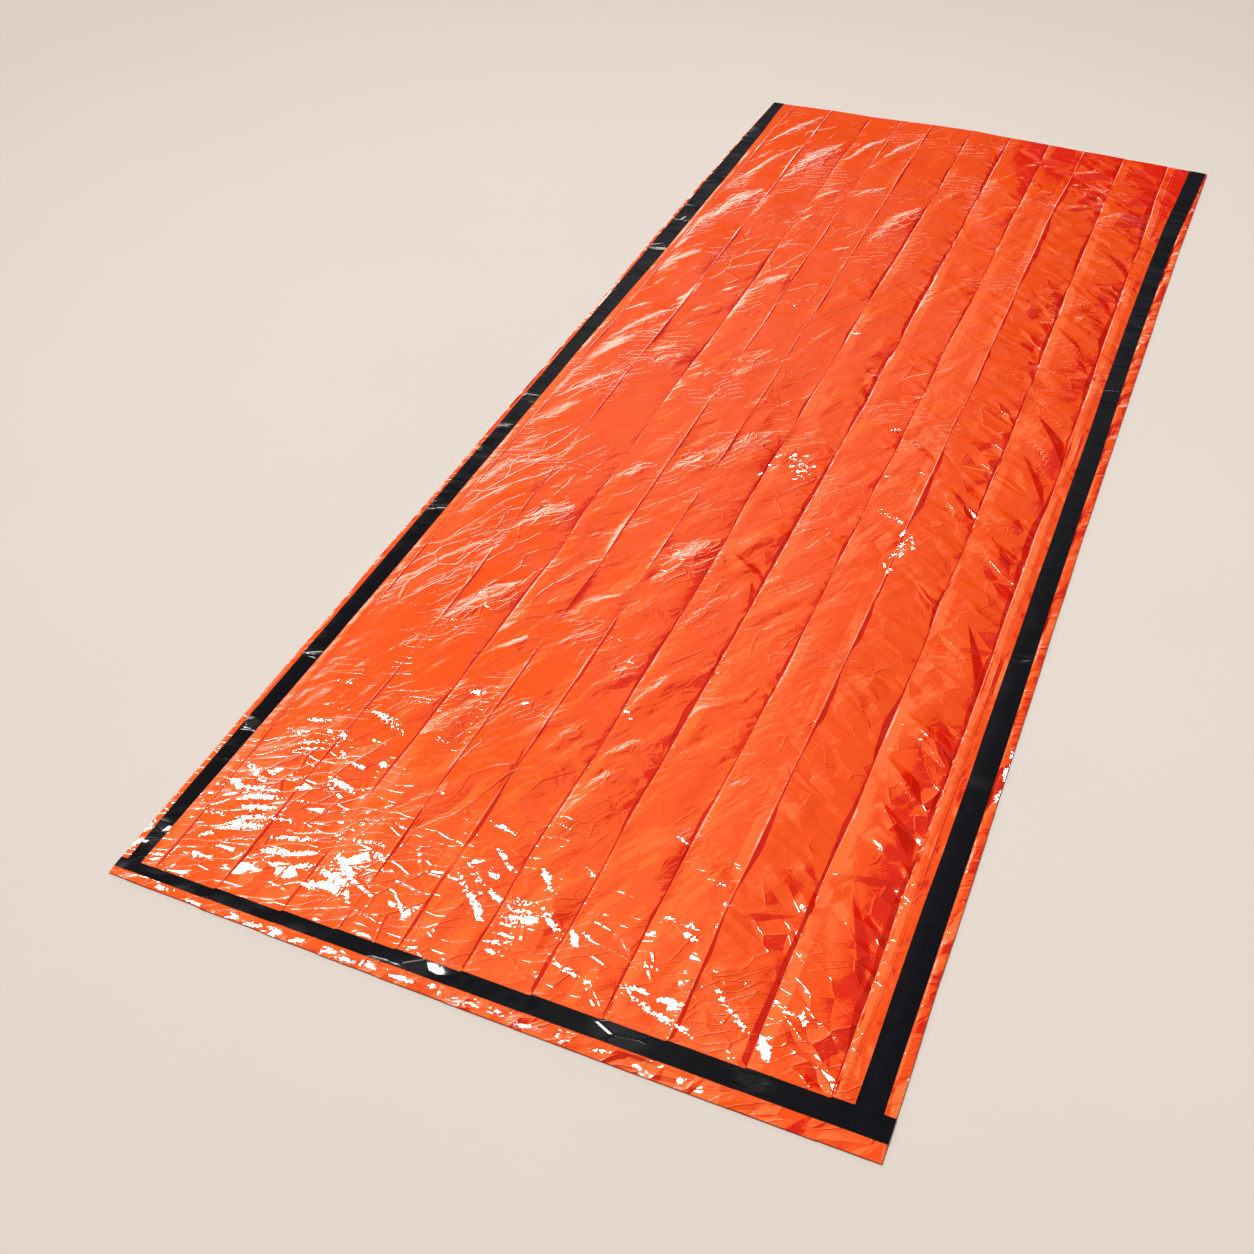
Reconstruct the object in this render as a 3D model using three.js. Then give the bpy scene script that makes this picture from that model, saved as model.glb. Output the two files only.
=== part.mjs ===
// Emergency bivy cover: a long flat bag of thin orange film, laid out on the floor with its mouth open.
// A front panel lies on a back panel, and black tape seals both sides and the foot.
// Millimetres. +X is the bag's right, +Y runs from the foot to the mouth, +Z is up.
// Places on the bag are measured from its left edge and from its foot, as with a tape measure.
import * as THREE from 'three';

// Driving sizes
const LENGTH = 2130; // foot edge to mouth along the sides
const WIDTH = 838; // left edge to right edge at the corners
const FILM_THICKNESS = 1.0;
const TAPE_THICKNESS = 1.0;
const LAYER_GAP = 0.3; // air between pieces that lie on each other
const ROW_PITCH = 38; // spacing of the rows of points along the bag
const CREASE_FLANK = 8; // a crease is folded sharp within this distance to either side

// How far the front panel stands off the back panel
const PUFF = 6.5; // air left in the bag, at its middle
const SEAL_RAMP = 70; // the film is back at full height this far from a tape
const MOUTH_DEPTH = 260; // the film changes from its full height to that of the mouth's edge over this length
const MOUTH_SETTLE = 0.35; // share of its height that the film keeps at the mouth's edge, where it lies flatter
const MOUTH_CROWN = { across: 405, reach: 190, lift: 4.8 }; // the one place where the mouth stands open
const STRIP_BULGE = 0.8; // crown of the film between two creases
const FOLD_REACH = 60; // a crosswise fold is felt this far to either side

// Creases stand higher in some places than in others: slow waves, out of step from line to line.
const CREASE_WAVES = [
  { length: 1190, share: 0.22, shift: 2.3 },
  { length: 446, share: 0.12, shift: 1.1 },
];
const FOLD_WAVES = [
  { length: 330, share: 0.3, shift: 2.9 },
  { length: 137, share: 0.35, shift: 1.7 },
];

// Lines that run along the bag, left to right, with their distance from the left edge
// at the mouth, at half length and at the foot. upper and lower say how far the line swings
// to the right of an even bow in the upper and in the lower half. rise is the film's height on that line,
// and fold is how far the crease itself stands up as a sharp ridge, or down as a sharp valley.
const LENGTHWISE_LINES = [
  { name: 'left edge', mouth: 0, upper: -5, middle: -5.5, lower: 0, foot: -5, rise: 0, fold: 0 },
  { name: 'left tape, outside', mouth: 0.5, upper: -3.5, middle: 0.5, lower: 0, foot: 2.5, rise: 0, fold: 0 },
  { name: 'left tape, inside', mouth: 20, upper: 3, middle: 23, lower: 1.5, foot: 18, rise: 0, fold: 0 },
  { name: 'crease, low ridge', mouth: 41, upper: 0, middle: 39, lower: 0, foot: 36, rise: 1.4, fold: 0.7 },
  { name: 'crease, ridge', mouth: 121, upper: -1, middle: 123, lower: 9, foot: 112, rise: 3.2, fold: 1.2 },
  { name: 'crease, valley', mouth: 202, upper: 1, middle: 204, lower: 8, foot: 192, rise: 2.2, fold: -1.2 },
  { name: 'crease, ridge', mouth: 262, upper: -4, middle: 267, lower: 4, foot: 255, rise: 3.2, fold: 1.1 },
  { name: 'crease, ridge', mouth: 321, upper: -1, middle: 332, lower: 1, foot: 322, rise: 3.8, fold: 1.3 },
  { name: 'crease, valley', mouth: 399, upper: 2, middle: 400, lower: 5, foot: 396, rise: 2.6, fold: -1.5 },
  { name: 'crease, deep valley', mouth: 475, upper: 0, middle: 478, lower: 1.5, foot: 473, rise: 2, fold: -1.8 },
  { name: 'crease, step', mouth: 548, upper: -1, middle: 552, lower: 3, foot: 547, rise: 2.8, fold: -1.6 },
  { name: 'crease, high ridge', mouth: 612, upper: -3, middle: 614, lower: 0, foot: 615, rise: 4.0, fold: 1.8 },
  { name: 'crease, valley', mouth: 686, upper: -3, middle: 694, lower: 0, foot: 693, rise: 2.2, fold: -2 },
  { name: 'crease, deep valley', mouth: 768, upper: -2, middle: 775, lower: -1, foot: 776, rise: 1.4, fold: -1 },
  { name: 'margin ridge', mouth: 783, upper: 0, middle: 786, lower: 0, foot: 787, rise: 1.4, fold: 0.6 },
  { name: 'right tape, inside', mouth: 806, upper: -5.6, middle: 794.5, lower: 2, foot: 799, rise: 0, fold: 0 },
  { name: 'right tape, outside', mouth: 835, upper: -6.5, middle: 820.5, lower: 3.5, foot: 827, rise: 0, fold: 0 },
  { name: 'right edge', mouth: 838, upper: -1, middle: 832, lower: 1, foot: 838, rise: 0, fold: 0 },
];
const LEFT_EDGE = 0;
const LEFT_TAPE = { outside: 1, inside: 2 };
const RIGHT_EDGE = LENGTHWISE_LINES.length - 1;
const RIGHT_TAPE = { outside: RIGHT_EDGE - 1, inside: RIGHT_EDGE - 2 };

// Lines that run across the bag, foot to mouth, with their distance from the foot
// at the left edge, at half width and at the right edge. rise is the height of a crosswise fold there.
const CROSSWISE_LINES = [
  { name: 'foot edge', left: 0, middle: -6, right: -5, rise: 0 },
  { name: 'foot tape, lower edge', left: 10, middle: 13, right: 15, rise: 0 },
  { name: 'foot tape, upper edge', left: 23, middle: 34, right: 43, rise: 0 },
  { name: 'fold', left: 236, middle: 240, right: 246, rise: 0.9 },
  { name: 'fold', left: 372, middle: 380, right: 386, rise: -0.8 },
  { name: 'fold', left: 556, middle: 550, right: 552, rise: 1.0 },
  { name: 'fold', left: 668, middle: 662, right: 655, rise: -1.0 },
  { name: 'fold', left: 880, middle: 872, right: 866, rise: 0.7 },
  { name: 'fold', left: 1032, middle: 1030, right: 1040, rise: 1.2 },
  { name: 'fold', left: 1192, middle: 1196, right: 1212, rise: -1.0 },
  { name: 'fold', left: 1402, middle: 1410, right: 1402, rise: 0.8 },
  { name: 'fold', left: 1618, middle: 1606, right: 1600, rise: -0.9 },
  { name: 'fold', left: 1826, middle: 1832, right: 1838, rise: 0.9 },
  { name: 'mouth', left: 2130, middle: 2134, right: 2130, rise: 0 },
];
const FOOT_EDGE = 0;
const FOOT_TAPE = { lower: 1, upper: 2 };
const MOUTH = CROSSWISE_LINES.length - 1;

// The main rucks of the film, each a soft ridge, or a trough where rise is below zero.
// across and along give its middle, length and width its spread, and turn its angle from +X in degrees.
const RUCKS = [
  { across: 82, along: 2020, length: 175, width: 30, turn: 64, rise: 1.8 },
  { across: 84, along: 1865, length: 205, width: 26, turn: 68, rise: 1.6 },
  { across: 158, along: 1880, length: 250, width: 36, turn: 75, rise: 2.2 },
  { across: 231, along: 1975, length: 180, width: 30, turn: 70, rise: 1.6 },
  { across: 291, along: 1990, length: 150, width: 28, turn: 68, rise: 1.6 },
  { across: 90, along: 1680, length: 190, width: 38, turn: 66, rise: 2.2 },
  { across: 368, along: 1690, length: 210, width: 34, turn: 72, rise: 1.8 },
  { across: 232, along: 1440, length: 110, width: 34, turn: 50, rise: 1.6 },
  { across: 100, along: 1410, length: 150, width: 30, turn: 74, rise: 1.6 },
  { across: 90, along: 1240, length: 130, width: 30, turn: 58, rise: 1.8 },
  { across: 90, along: 1055, length: 150, width: 34, turn: 56, rise: 1.8 },
  { across: 292, along: 935, length: 258, width: 34, turn: 47, rise: 2.4 },
  { across: 165, along: 730, length: 130, width: 40, turn: 46, rise: 2.2 },
  { across: 365, along: 690, length: 180, width: 46, turn: 66, rise: 2.2 },
  { across: 130, along: 570, length: 250, width: 34, turn: 56, rise: 1.8 },
  { across: 275, along: 497, length: 180, width: 32, turn: 32, rise: 1.8 },
  { across: 372, along: 475, length: 150, width: 32, turn: 67, rise: 1.6 },
  { across: 735, along: 1725, length: 110, width: 30, turn: -42, rise: -1.4 },
  { across: 660, along: 1930, length: 130, width: 40, turn: -30, rise: -1.4 },
  { across: 575, along: 1062, length: 120, width: 30, turn: -34, rise: -1.6 },
  { across: 665, along: 960, length: 110, width: 30, turn: -52, rise: -1.6 },
  { across: 748, along: 1165, length: 110, width: 30, turn: -62, rise: -1.4 },
  { across: 455, along: 715, length: 100, width: 34, turn: -48, rise: -1.4 },
  { across: 758, along: 660, length: 140, width: 30, turn: -74, rise: -1.4 },
];

const lerp = THREE.MathUtils.lerp;
const smoothstep = THREE.MathUtils.smoothstep;

// A curve through three values, at the start, the middle and the end of a run from 0 to 1.
function bowed(start, middle, end, run) {
  const straight = lerp(start, end, run);
  const sag = middle - (start + end) / 2;
  return straight + sag * 4 * run * (1 - run);
}

// Splits the strips between the listed lines, as { line, part } with part from 0 to 1 towards the next line.
function splitLines(first, last, partsAfter) {
  const places = [];
  for (let line = first; line < last; line += 1) {
    for (const part of partsAfter(line)) places.push({ line, part });
  }
  places.push({ line: last - 1, part: 1 });
  return places;
}

function evenParts(steps) {
  return Array.from({ length: steps }, (unused, step) => step / steps);
}

// A wide strip has a column on its crease, one at the foot of each crease's flank and one in the middle.
function columnParts(line) {
  const strip = LENGTHWISE_LINES[line + 1].middle - LENGTHWISE_LINES[line].middle;
  const flank = CREASE_FLANK / strip;
  return strip > 4 * CREASE_FLANK ? [0, flank, 0.5, 1 - flank] : [0];
}

function rowParts(line) {
  const bay = CROSSWISE_LINES[line + 1].middle - CROSSWISE_LINES[line].middle;
  return evenParts(Math.max(1, Math.round(bay / ROW_PITCH)));
}

const COLUMNS = splitLines(LEFT_EDGE, RIGHT_EDGE, columnParts);
const ROWS = splitLines(FOOT_EDGE, MOUTH, rowParts);

// Distance from the left edge of a lengthwise line, at a run from 0 at the foot to 1 at the mouth.
function lineAcross(line, run) {
  const upperSwing = line.upper * smoothstep(run, 0.5, 0.75) * (1 - smoothstep(run, 0.86, 1));
  const lowerSwing = line.lower * smoothstep(run, 0, 0.25) * (1 - smoothstep(run, 0.25, 0.5));
  return bowed(line.foot, line.middle, line.mouth, run) + upperSwing + lowerSwing;
}

// Distance from the left edge of a column, at a run from 0 at the foot to 1 at the mouth.
function acrossAt(column, run) {
  const near = LENGTHWISE_LINES[column.line];
  const far = LENGTHWISE_LINES[column.line + 1];
  return lerp(lineAcross(near, run), lineAcross(far, run), column.part);
}

// Distance from the foot of a row, at a run from 0 at the left edge to 1 at the right.
function alongAt(row, run) {
  const near = CROSSWISE_LINES[row.line];
  const far = CROSSWISE_LINES[row.line + 1];
  const nearAlong = bowed(near.left, near.middle, near.right, run);
  const farAlong = bowed(far.left, far.middle, far.right, run);
  return lerp(nearAlong, farAlong, row.part);
}

// Where a column crosses a row, measured on the bag.
function crossing(column, row) {
  const acrossRun = acrossAt(column, 0.5) / WIDTH;
  const alongRun = alongAt(row, 0.5) / LENGTH;
  return { across: acrossAt(column, alongRun), along: alongAt(row, acrossRun) };
}

// Share of its listed height that a crease has at a place along it.
function unevenness(line, along, waves) {
  let share = 1;
  for (const wave of waves) {
    share += wave.share * Math.sin((2 * Math.PI * along) / wave.length + wave.shift * line);
  }
  return share;
}

function creaseRise(column, along) {
  const near = LENGTHWISE_LINES[column.line];
  const far = LENGTHWISE_LINES[column.line + 1];
  const nearRise = near.rise * unevenness(column.line, along, CREASE_WAVES);
  const farRise = far.rise * unevenness(column.line + 1, along, CREASE_WAVES);
  const crown = 4 * column.part * (1 - column.part) * unevenness(column.line + 0.5, along, CREASE_WAVES);
  const fold = column.part === 0 ? near.fold * unevenness(column.line, along, FOLD_WAVES) : 0;
  return lerp(nearRise, farRise, column.part) + STRIP_BULGE * crown + fold;
}

function foldRise(across, along) {
  let rise = 0;
  for (const fold of CROSSWISE_LINES) {
    const foldAlong = bowed(fold.left, fold.middle, fold.right, across / WIDTH);
    const nearness = Math.max(0, 1 - Math.abs(along - foldAlong) / FOLD_REACH);
    rise += fold.rise * nearness;
  }
  return rise;
}

function ruckRise(across, along) {
  let rise = 0;
  for (const ruck of RUCKS) {
    const turn = THREE.MathUtils.degToRad(ruck.turn);
    const east = across - ruck.across;
    const north = along - ruck.along;
    const lengthwise = (east * Math.cos(turn) + north * Math.sin(turn)) / (ruck.length / 2);
    const sideways = (north * Math.cos(turn) - east * Math.sin(turn)) / (ruck.width / 2);
    rise += ruck.rise * Math.exp(-(lengthwise ** 2) - sideways ** 2);
  }
  return rise;
}

function crownLift(across) {
  const nearness = Math.max(0, 1 - Math.abs(across - MOUTH_CROWN.across) / MOUTH_CROWN.reach);
  return MOUTH_CROWN.lift * nearness;
}

// Height of the front film over the place where it lies sealed to the back.
function filmRise(column, row) {
  const besideTape = column.line < LEFT_TAPE.inside || column.line >= RIGHT_TAPE.inside;
  if (besideTape || row.line < FOOT_TAPE.upper) return 0;
  const { across, along } = crossing(column, row);
  const leftSeal = acrossAt({ line: LEFT_TAPE.inside, part: 0 }, along / LENGTH);
  const rightSeal = acrossAt({ line: RIGHT_TAPE.inside, part: 0 }, along / LENGTH);
  const footSeal = alongAt({ line: FOOT_TAPE.upper, part: 0 }, across / WIDTH);
  const sideFreedom = smoothstep(Math.min(across - leftSeal, rightSeal - across), 0, SEAL_RAMP);
  const footFreedom = smoothstep(along - footSeal, 0, SEAL_RAMP);
  const loose = PUFF + foldRise(across, along) + ruckRise(across, along);
  const body = Math.max(0, (creaseRise(column, along) + sideFreedom * loose) * footFreedom);
  const mouthNearness = smoothstep(along, LENGTH - MOUTH_DEPTH, LENGTH);
  return body * lerp(1, MOUTH_SETTLE, mouthNearness) + crownLift(across) * mouthNearness;
}

// Height of the underside of the front film above the floor.
function filmUnderside(column, row) {
  return FILM_THICKNESS + LAYER_GAP + filmRise(column, row);
}

// A closed sheet over a net of columns and rows, with its underside at the height given for each crossing.
function sheetSolid(columns, rows, place, underside, thickness) {
  const positions = [];
  for (const lift of [0, thickness]) {
    for (const row of rows) {
      for (const column of columns) {
        const { across, along } = place(column, row);
        positions.push(across - WIDTH / 2, along - LENGTH / 2, underside(column, row) + lift);
      }
    }
  }
  const bottom = (column, row) => row * columns.length + column;
  const top = (column, row) => columns.length * rows.length + bottom(column, row);
  const lastColumn = columns.length - 1;
  const lastRow = rows.length - 1;
  const faces = [];
  for (let row = 0; row < lastRow; row += 1) {
    for (let column = 0; column < lastColumn; column += 1) {
      faces.push(top(column, row), top(column + 1, row), top(column + 1, row + 1));
      faces.push(top(column, row), top(column + 1, row + 1), top(column, row + 1));
      faces.push(bottom(column, row), bottom(column + 1, row + 1), bottom(column + 1, row));
      faces.push(bottom(column, row), bottom(column, row + 1), bottom(column + 1, row + 1));
    }
  }
  // The rim, walked once round with the sheet on its left.
  const rim = [];
  for (let column = 0; column < lastColumn; column += 1) rim.push([column, 0]);
  for (let row = 0; row < lastRow; row += 1) rim.push([lastColumn, row]);
  for (let column = lastColumn; column > 0; column -= 1) rim.push([column, lastRow]);
  for (let row = lastRow; row > 0; row -= 1) rim.push([0, row]);
  rim.forEach((here, index) => {
    const next = rim[(index + 1) % rim.length];
    faces.push(bottom(...here), bottom(...next), top(...next));
    faces.push(bottom(...here), top(...next), top(...here));
  });
  const geometry = new THREE.BufferGeometry();
  geometry.setAttribute('position', new THREE.Float32BufferAttribute(positions, 3));
  geometry.setIndex(faces);
  geometry.computeVertexNormals();
  return geometry;
}

// The back panel is flat, so it is the bag's outline given the film's thickness.
function backPanelGeometry() {
  const outline = [];
  const corner = (column, row) => {
    const { across, along } = crossing(column, row);
    outline.push(new THREE.Vector2(across - WIDTH / 2, along - LENGTH / 2));
  };
  const footColumns = splitLines(LEFT_EDGE, RIGHT_EDGE, () => evenParts(1));
  const sideRows = splitLines(FOOT_EDGE, MOUTH, () => evenParts(2));
  const firstColumn = footColumns[0];
  const lastColumn = footColumns[footColumns.length - 1];
  const firstRow = sideRows[0];
  const lastRow = sideRows[sideRows.length - 1];
  footColumns.slice(0, -1).forEach((column) => corner(column, firstRow));
  sideRows.slice(0, -1).forEach((row) => corner(lastColumn, row));
  footColumns.slice(1).reverse().forEach((column) => corner(column, lastRow));
  sideRows.slice(1).reverse().forEach((row) => corner(firstColumn, row));
  return new THREE.ExtrudeGeometry(new THREE.Shape(outline), { depth: FILM_THICKNESS, bevelEnabled: false });
}

function frontPanelGeometry() {
  return sheetSolid(COLUMNS, ROWS, crossing, filmUnderside, FILM_THICKNESS);
}

// Tape lies on the sealed film, so its underside is a gap above the film's upper face.
function tapeUnderside(column, row) {
  return filmUnderside(column, row) + FILM_THICKNESS + LAYER_GAP;
}

// A side tape runs from the foot tape's upper edge, a gap clear of it, to the mouth.
function sideTapeGeometry(tape) {
  const columns = COLUMNS.filter(({ line }) => line === Math.min(tape.outside, tape.inside));
  columns.push({ line: columns[0].line, part: 1 });
  const rows = ROWS.filter(({ line }) => line >= FOOT_TAPE.upper);
  const place = (column, row) => {
    const point = crossing(column, row);
    if (row === rows[0]) point.along += LAYER_GAP;
    return point;
  };
  return sheetSolid(columns, rows, place, tapeUnderside, TAPE_THICKNESS);
}

function footTapeGeometry() {
  const rows = [{ line: FOOT_TAPE.lower, part: 0 }, { line: FOOT_TAPE.lower, part: 1 }];
  return sheetSolid(COLUMNS, rows, crossing, tapeUnderside, TAPE_THICKNESS);
}

const film = () => new THREE.MeshStandardMaterial({ color: 0xfa5523, roughness: 0.25, metalness: 0.15 });
const tape = () => new THREE.MeshStandardMaterial({ color: 0x121216, roughness: 0.35, metalness: 0.0 });

const bag = new THREE.Group();
function addPiece(name, geometry, material) {
  const piece = new THREE.Mesh(geometry, material);
  piece.name = name;
  bag.add(piece);
}
addPiece('back_panel', backPanelGeometry(), film());
addPiece('front_panel', frontPanelGeometry(), film());
addPiece('seam_tape_left', sideTapeGeometry(LEFT_TAPE), tape());
addPiece('seam_tape_right', sideTapeGeometry(RIGHT_TAPE), tape());
addPiece('seam_tape_foot', footTapeGeometry(), tape());

// The origin is under the middle of the bag's box, on the floor.
const box = new THREE.Box3().setFromObject(bag);
const middle = box.getCenter(new THREE.Vector3());
bag.position.set(-middle.x, -middle.y, -box.min.z);

export default bag;
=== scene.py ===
# %% [markdown]
# # An emergency bivy cover, laid out flat
#
# The real thing is a bag of very thin orange film, packed small at the maker's and so full of pack
# creases. Two panels lie one on the other, and black tape seals the sides and the foot. This lesson
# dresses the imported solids: the film, the tapes, their finishes, a pale floor, soft lights, a camera.

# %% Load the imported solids
import math
from collections import namedtuple

import bpy
import numpy as np
from mathutils import Matrix, Vector


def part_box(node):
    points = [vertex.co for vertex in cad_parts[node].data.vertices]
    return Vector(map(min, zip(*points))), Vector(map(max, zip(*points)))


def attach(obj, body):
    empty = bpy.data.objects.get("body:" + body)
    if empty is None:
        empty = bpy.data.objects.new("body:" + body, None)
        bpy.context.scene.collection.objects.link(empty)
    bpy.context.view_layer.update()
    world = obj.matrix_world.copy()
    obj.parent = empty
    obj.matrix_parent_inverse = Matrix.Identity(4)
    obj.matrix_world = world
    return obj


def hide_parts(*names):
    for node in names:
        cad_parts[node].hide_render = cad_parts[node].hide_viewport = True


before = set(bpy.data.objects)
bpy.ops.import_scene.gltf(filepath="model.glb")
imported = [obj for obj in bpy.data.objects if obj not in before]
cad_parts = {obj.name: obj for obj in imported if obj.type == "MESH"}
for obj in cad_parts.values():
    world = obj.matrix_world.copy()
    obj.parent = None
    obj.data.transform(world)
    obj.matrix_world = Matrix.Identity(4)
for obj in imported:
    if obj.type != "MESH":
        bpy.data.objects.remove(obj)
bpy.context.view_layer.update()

# %% [markdown]
# ## The lines of the bag
#
# A maker would measure the bag with a tape, from its left edge and from its foot, in millimetres. Every
# lengthwise line is given at the mouth, at half length and at the foot, and bows gently in between;
# `upper` and `lower` say how far it strays from that bow in each half. The pack creases are the lines
# that matter: `rise` is the film's height there, `side` is 1 on a ridge and -1 on a valley, and `band`
# is the width of the flank that lies in shade.

# %% Measures of the bag
MM = 0.001
LENGTH = 2130.0
WIDTH = 838.0

Line = namedtuple("Line", "name mouth upper middle lower foot rise side band")
LENGTHWISE = [
    Line("left edge", 0, -3.5, -5, 0, -4.5, 0, 0, 0),
    Line("left tape outside", 0.5, -2.5, 1, 0, 2.5, 0, 0, 0),
    Line("left tape inside", 21, 4, 24.5, 2, 19, 0, 0, 0),
    Line("low ridge", 41, 0, 39, 0, 36, 0.5, 1, 2.6),
    Line("ridge", 121, -1, 123, 9, 112, 2.4, 1, 3.6),
    Line("valley", 202, 1, 204, 8, 192, 1, -1, 3.2),
    Line("ridge", 262, -4, 267, 4, 255, 2.2, 1, 3.2),
    Line("ridge", 321, -1, 332, 1, 322, 2.8, 1, 3.6),
    Line("valley", 399, 2, 400, 5, 396, 1.4, -1, 3.8),
    Line("deep valley", 475, 0, 478, 1.5, 473, 0.6, -1, 6.5),
    Line("step", 548, -1, 552, 3, 547, 1.8, -1, 4.2),
    Line("high ridge", 612, -3, 614, 0, 615, 3.2, 1, 7),
    Line("valley", 686, -3, 694, 0, 693, 1, -1, 6),
    Line("deep valley", 768, -2, 775, -1, 776, 0.4, -1, 7.5),
    Line("margin ridge", 783, 0, 786, 0, 787, 0.4, 1, 0.8),
    Line("right tape inside", 806, -5.6, 794.5, 2, 799, 0, 0, 0),
    Line("right tape outside", 835, -6.5, 820.5, 3.5, 827, 0, 0, 0),
    Line("right edge", 838, -1, 832, 1, 838, 0, 0, 0),
]
LEFT_SEAL = 2
RIGHT_SEAL = 15
CREASES = range(3, 15)

FOOT_EDGE = (0, -6, -5)
FOOT_TAPE_LOWER = (10, 13, 15)
FOOT_TAPE_UPPER = (23, 34, 43)
MOUTH_EDGE = (2130, 2134, 2130)
EDGE_BOW_REACH = 300.0
print("lengthwise lines:", len(LENGTHWISE), "of which creases:", len(CREASES))

# %% [markdown]
# Three helpers do most of the measuring: a bow through three values, an even S-curve between two, and
# slow noise from a table of seeded random numbers. The noise could come from a texture, but a table
# gives the same film on every run, and both the mesh and the finish can use it.

# %% Curves and slow noise
NOISE_ROWS = 97
NOISE_COLUMNS = 89
NOISE_START = 40


def bowed(start, middle, end, run):
    """A gentle curve through three values, as run goes from 0 to 1."""
    straight = start + (end - start) * run
    sag = middle - (start + end) / 2
    return straight + sag * 4 * run * (1 - run)


def smooth(value, low, high):
    """0 below low, 1 above high, and an even S-curve between."""
    run = np.clip((value - low) / (high - low), 0, 1)
    return run * run * (3 - 2 * run)


def patchy(across, along, cell, seed):
    """Slow seeded noise from -1 to 1, with one random value for each cell of that size in millimetres."""
    values = np.random.default_rng(seed).uniform(-1, 1, (NOISE_ROWS, NOISE_COLUMNS))
    column = across / cell + NOISE_START
    row = along / cell + NOISE_START
    left = np.floor(column).astype(int)
    low = np.floor(row).astype(int)
    side = smooth(column - left, 0, 1)
    rise = smooth(row - low, 0, 1)

    def corner(right, up):
        return values[(low + up) % NOISE_ROWS, (left + right) % NOISE_COLUMNS]

    lower = corner(0, 0) * (1 - side) + corner(1, 0) * side
    upper = corner(0, 1) * (1 - side) + corner(1, 1) * side
    return lower * (1 - rise) + upper * rise


# %% [markdown]
# A line on thin film is never quite straight. Each gets a little wander of its own, more on the creases
# than on the sealed edges. It could be drawn by hand as a curve, but a bow, two strays and some noise
# take only a few numbers a line.

# %% Where the lines run
CREASE_WANDER = 1.6
EDGE_WANDER = 0.5
WANDER_LENGTH = 95.0
WANDER_SEED = 100


def measured_across(index, along):
    """Where a lengthwise line was measured to run, in millimetres from the left edge."""
    line = LENGTHWISE[index]
    run = along / LENGTH
    upper = line.upper * smooth(run, 0.5, 0.75) * (1 - smooth(run, 0.86, 1))
    lower = line.lower * smooth(run, 0, 0.25) * (1 - smooth(run, 0.25, 0.5))
    return bowed(line.foot, line.middle, line.mouth, run) + upper + lower


def line_across(index, along):
    """The same line with a little wander, more on the creases than on the edges."""
    wander = CREASE_WANDER if index in CREASES else EDGE_WANDER
    stray = patchy(0 * along, along, WANDER_LENGTH, WANDER_SEED + index)
    return measured_across(index, along) + wander * stray


print("width at half length:", round(float(line_across(17, 1065.0) - line_across(0, 1065.0)), 1), "mm")

# %% [markdown]
# ## The height of the film
#
# The solid of the front panel already has the bag's broad form: it is sealed flat under the tapes,
# holds a little air, and rises and falls from crease to crease. The sheet follows the same form, a
# little lower, with gentler slopes beside the seals, where steep ones would take on a shade that the
# real film doesn't have. At the mouth the film settles, apart from one place where the edge stands
# open.

# %% Broad form of the front film
PUFF = 3.0
SEAL_RAMP = 70.0
FOOT_RAMP = 160.0
LOFT = 3.5
LOFT_SIDE_RAMP = 220.0
LOFT_FOOT_RAMP = 300.0
STRIP_BULGE = 0.5
MOUTH_DEPTH = 260.0
MOUTH_SETTLE = 0.35
CROWN_ACROSS = 405.0
CROWN_REACH = 190.0
CROWN_LIFT = 4.8
Wave = namedtuple("Wave", "length share shift")
CREASE_WAVES = [Wave(1190, 0.22, 2.3), Wave(446, 0.12, 1.1)]
Fold = namedtuple("Fold", "left middle right rise")
CROSS_FOLDS = [
    Fold(236, 240, 246, 0.9),
    Fold(372, 380, 386, -0.8),
    Fold(556, 550, 552, 1.0),
    Fold(668, 662, 655, -1.0),
    Fold(880, 872, 866, 0.7),
    Fold(1032, 1030, 1040, 1.2),
    Fold(1192, 1196, 1212, -1.0),
    Fold(1402, 1410, 1402, 0.8),
    Fold(1618, 1606, 1600, -0.9),
    Fold(1826, 1832, 1838, 0.9),
]
FOLD_REACH = 60.0
FOLD_PATCH = 130.0
FOLD_SEED = 300
FOLD_SHARE = 0.6
FOLD_CHANGE = 0.6


def unevenness(index, along):
    """Share of its rise that a crease has at a place along it."""
    share = 1.0
    for wave in CREASE_WAVES:
        share = share + wave.share * np.sin(2 * math.pi * along / wave.length + wave.shift * index)
    return share


def broad_rise(line, part, along):
    """Height of the creases and of the film between them, sealed margins being zero."""
    rises = np.array([entry.rise for entry in LENGTHWISE])
    near = rises[line] * unevenness(line, along)
    far = rises[line + 1] * unevenness(line + 1, along)
    bulge = STRIP_BULGE * 4 * part * (1 - part) * unevenness(line + 0.5, along)
    return near + (far - near) * part + bulge


def cross_fold_rise(across, along):
    """Height of the faint folds across the bag, each stronger in some places than in others."""
    total = 0.0
    for number, fold in enumerate(CROSS_FOLDS):
        middle = bowed(fold.left, fold.middle, fold.right, across / WIDTH)
        nearness = np.clip(1 - np.abs(along - middle) / FOLD_REACH, 0, 1)
        strength = FOLD_SHARE + FOLD_CHANGE * patchy(across, along, FOLD_PATCH, FOLD_SEED + number)
        total = total + fold.rise * strength * nearness
    return total


def loft_rise(across, along):
    """The air left in the bag lifts the film slowly, far from the seals."""
    from_sides = np.minimum(across - LENGTHWISE[LEFT_SEAL].middle, LENGTHWISE[RIGHT_SEAL].middle - across)
    from_foot = along - FOOT_TAPE_UPPER[1]
    return LOFT * smooth(from_sides, 0, LOFT_SIDE_RAMP) * smooth(from_foot, 0, LOFT_FOOT_RAMP)


print("cross folds:", len(CROSS_FOLDS), "air in the bag:", PUFF + LOFT, "mm")

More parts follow.
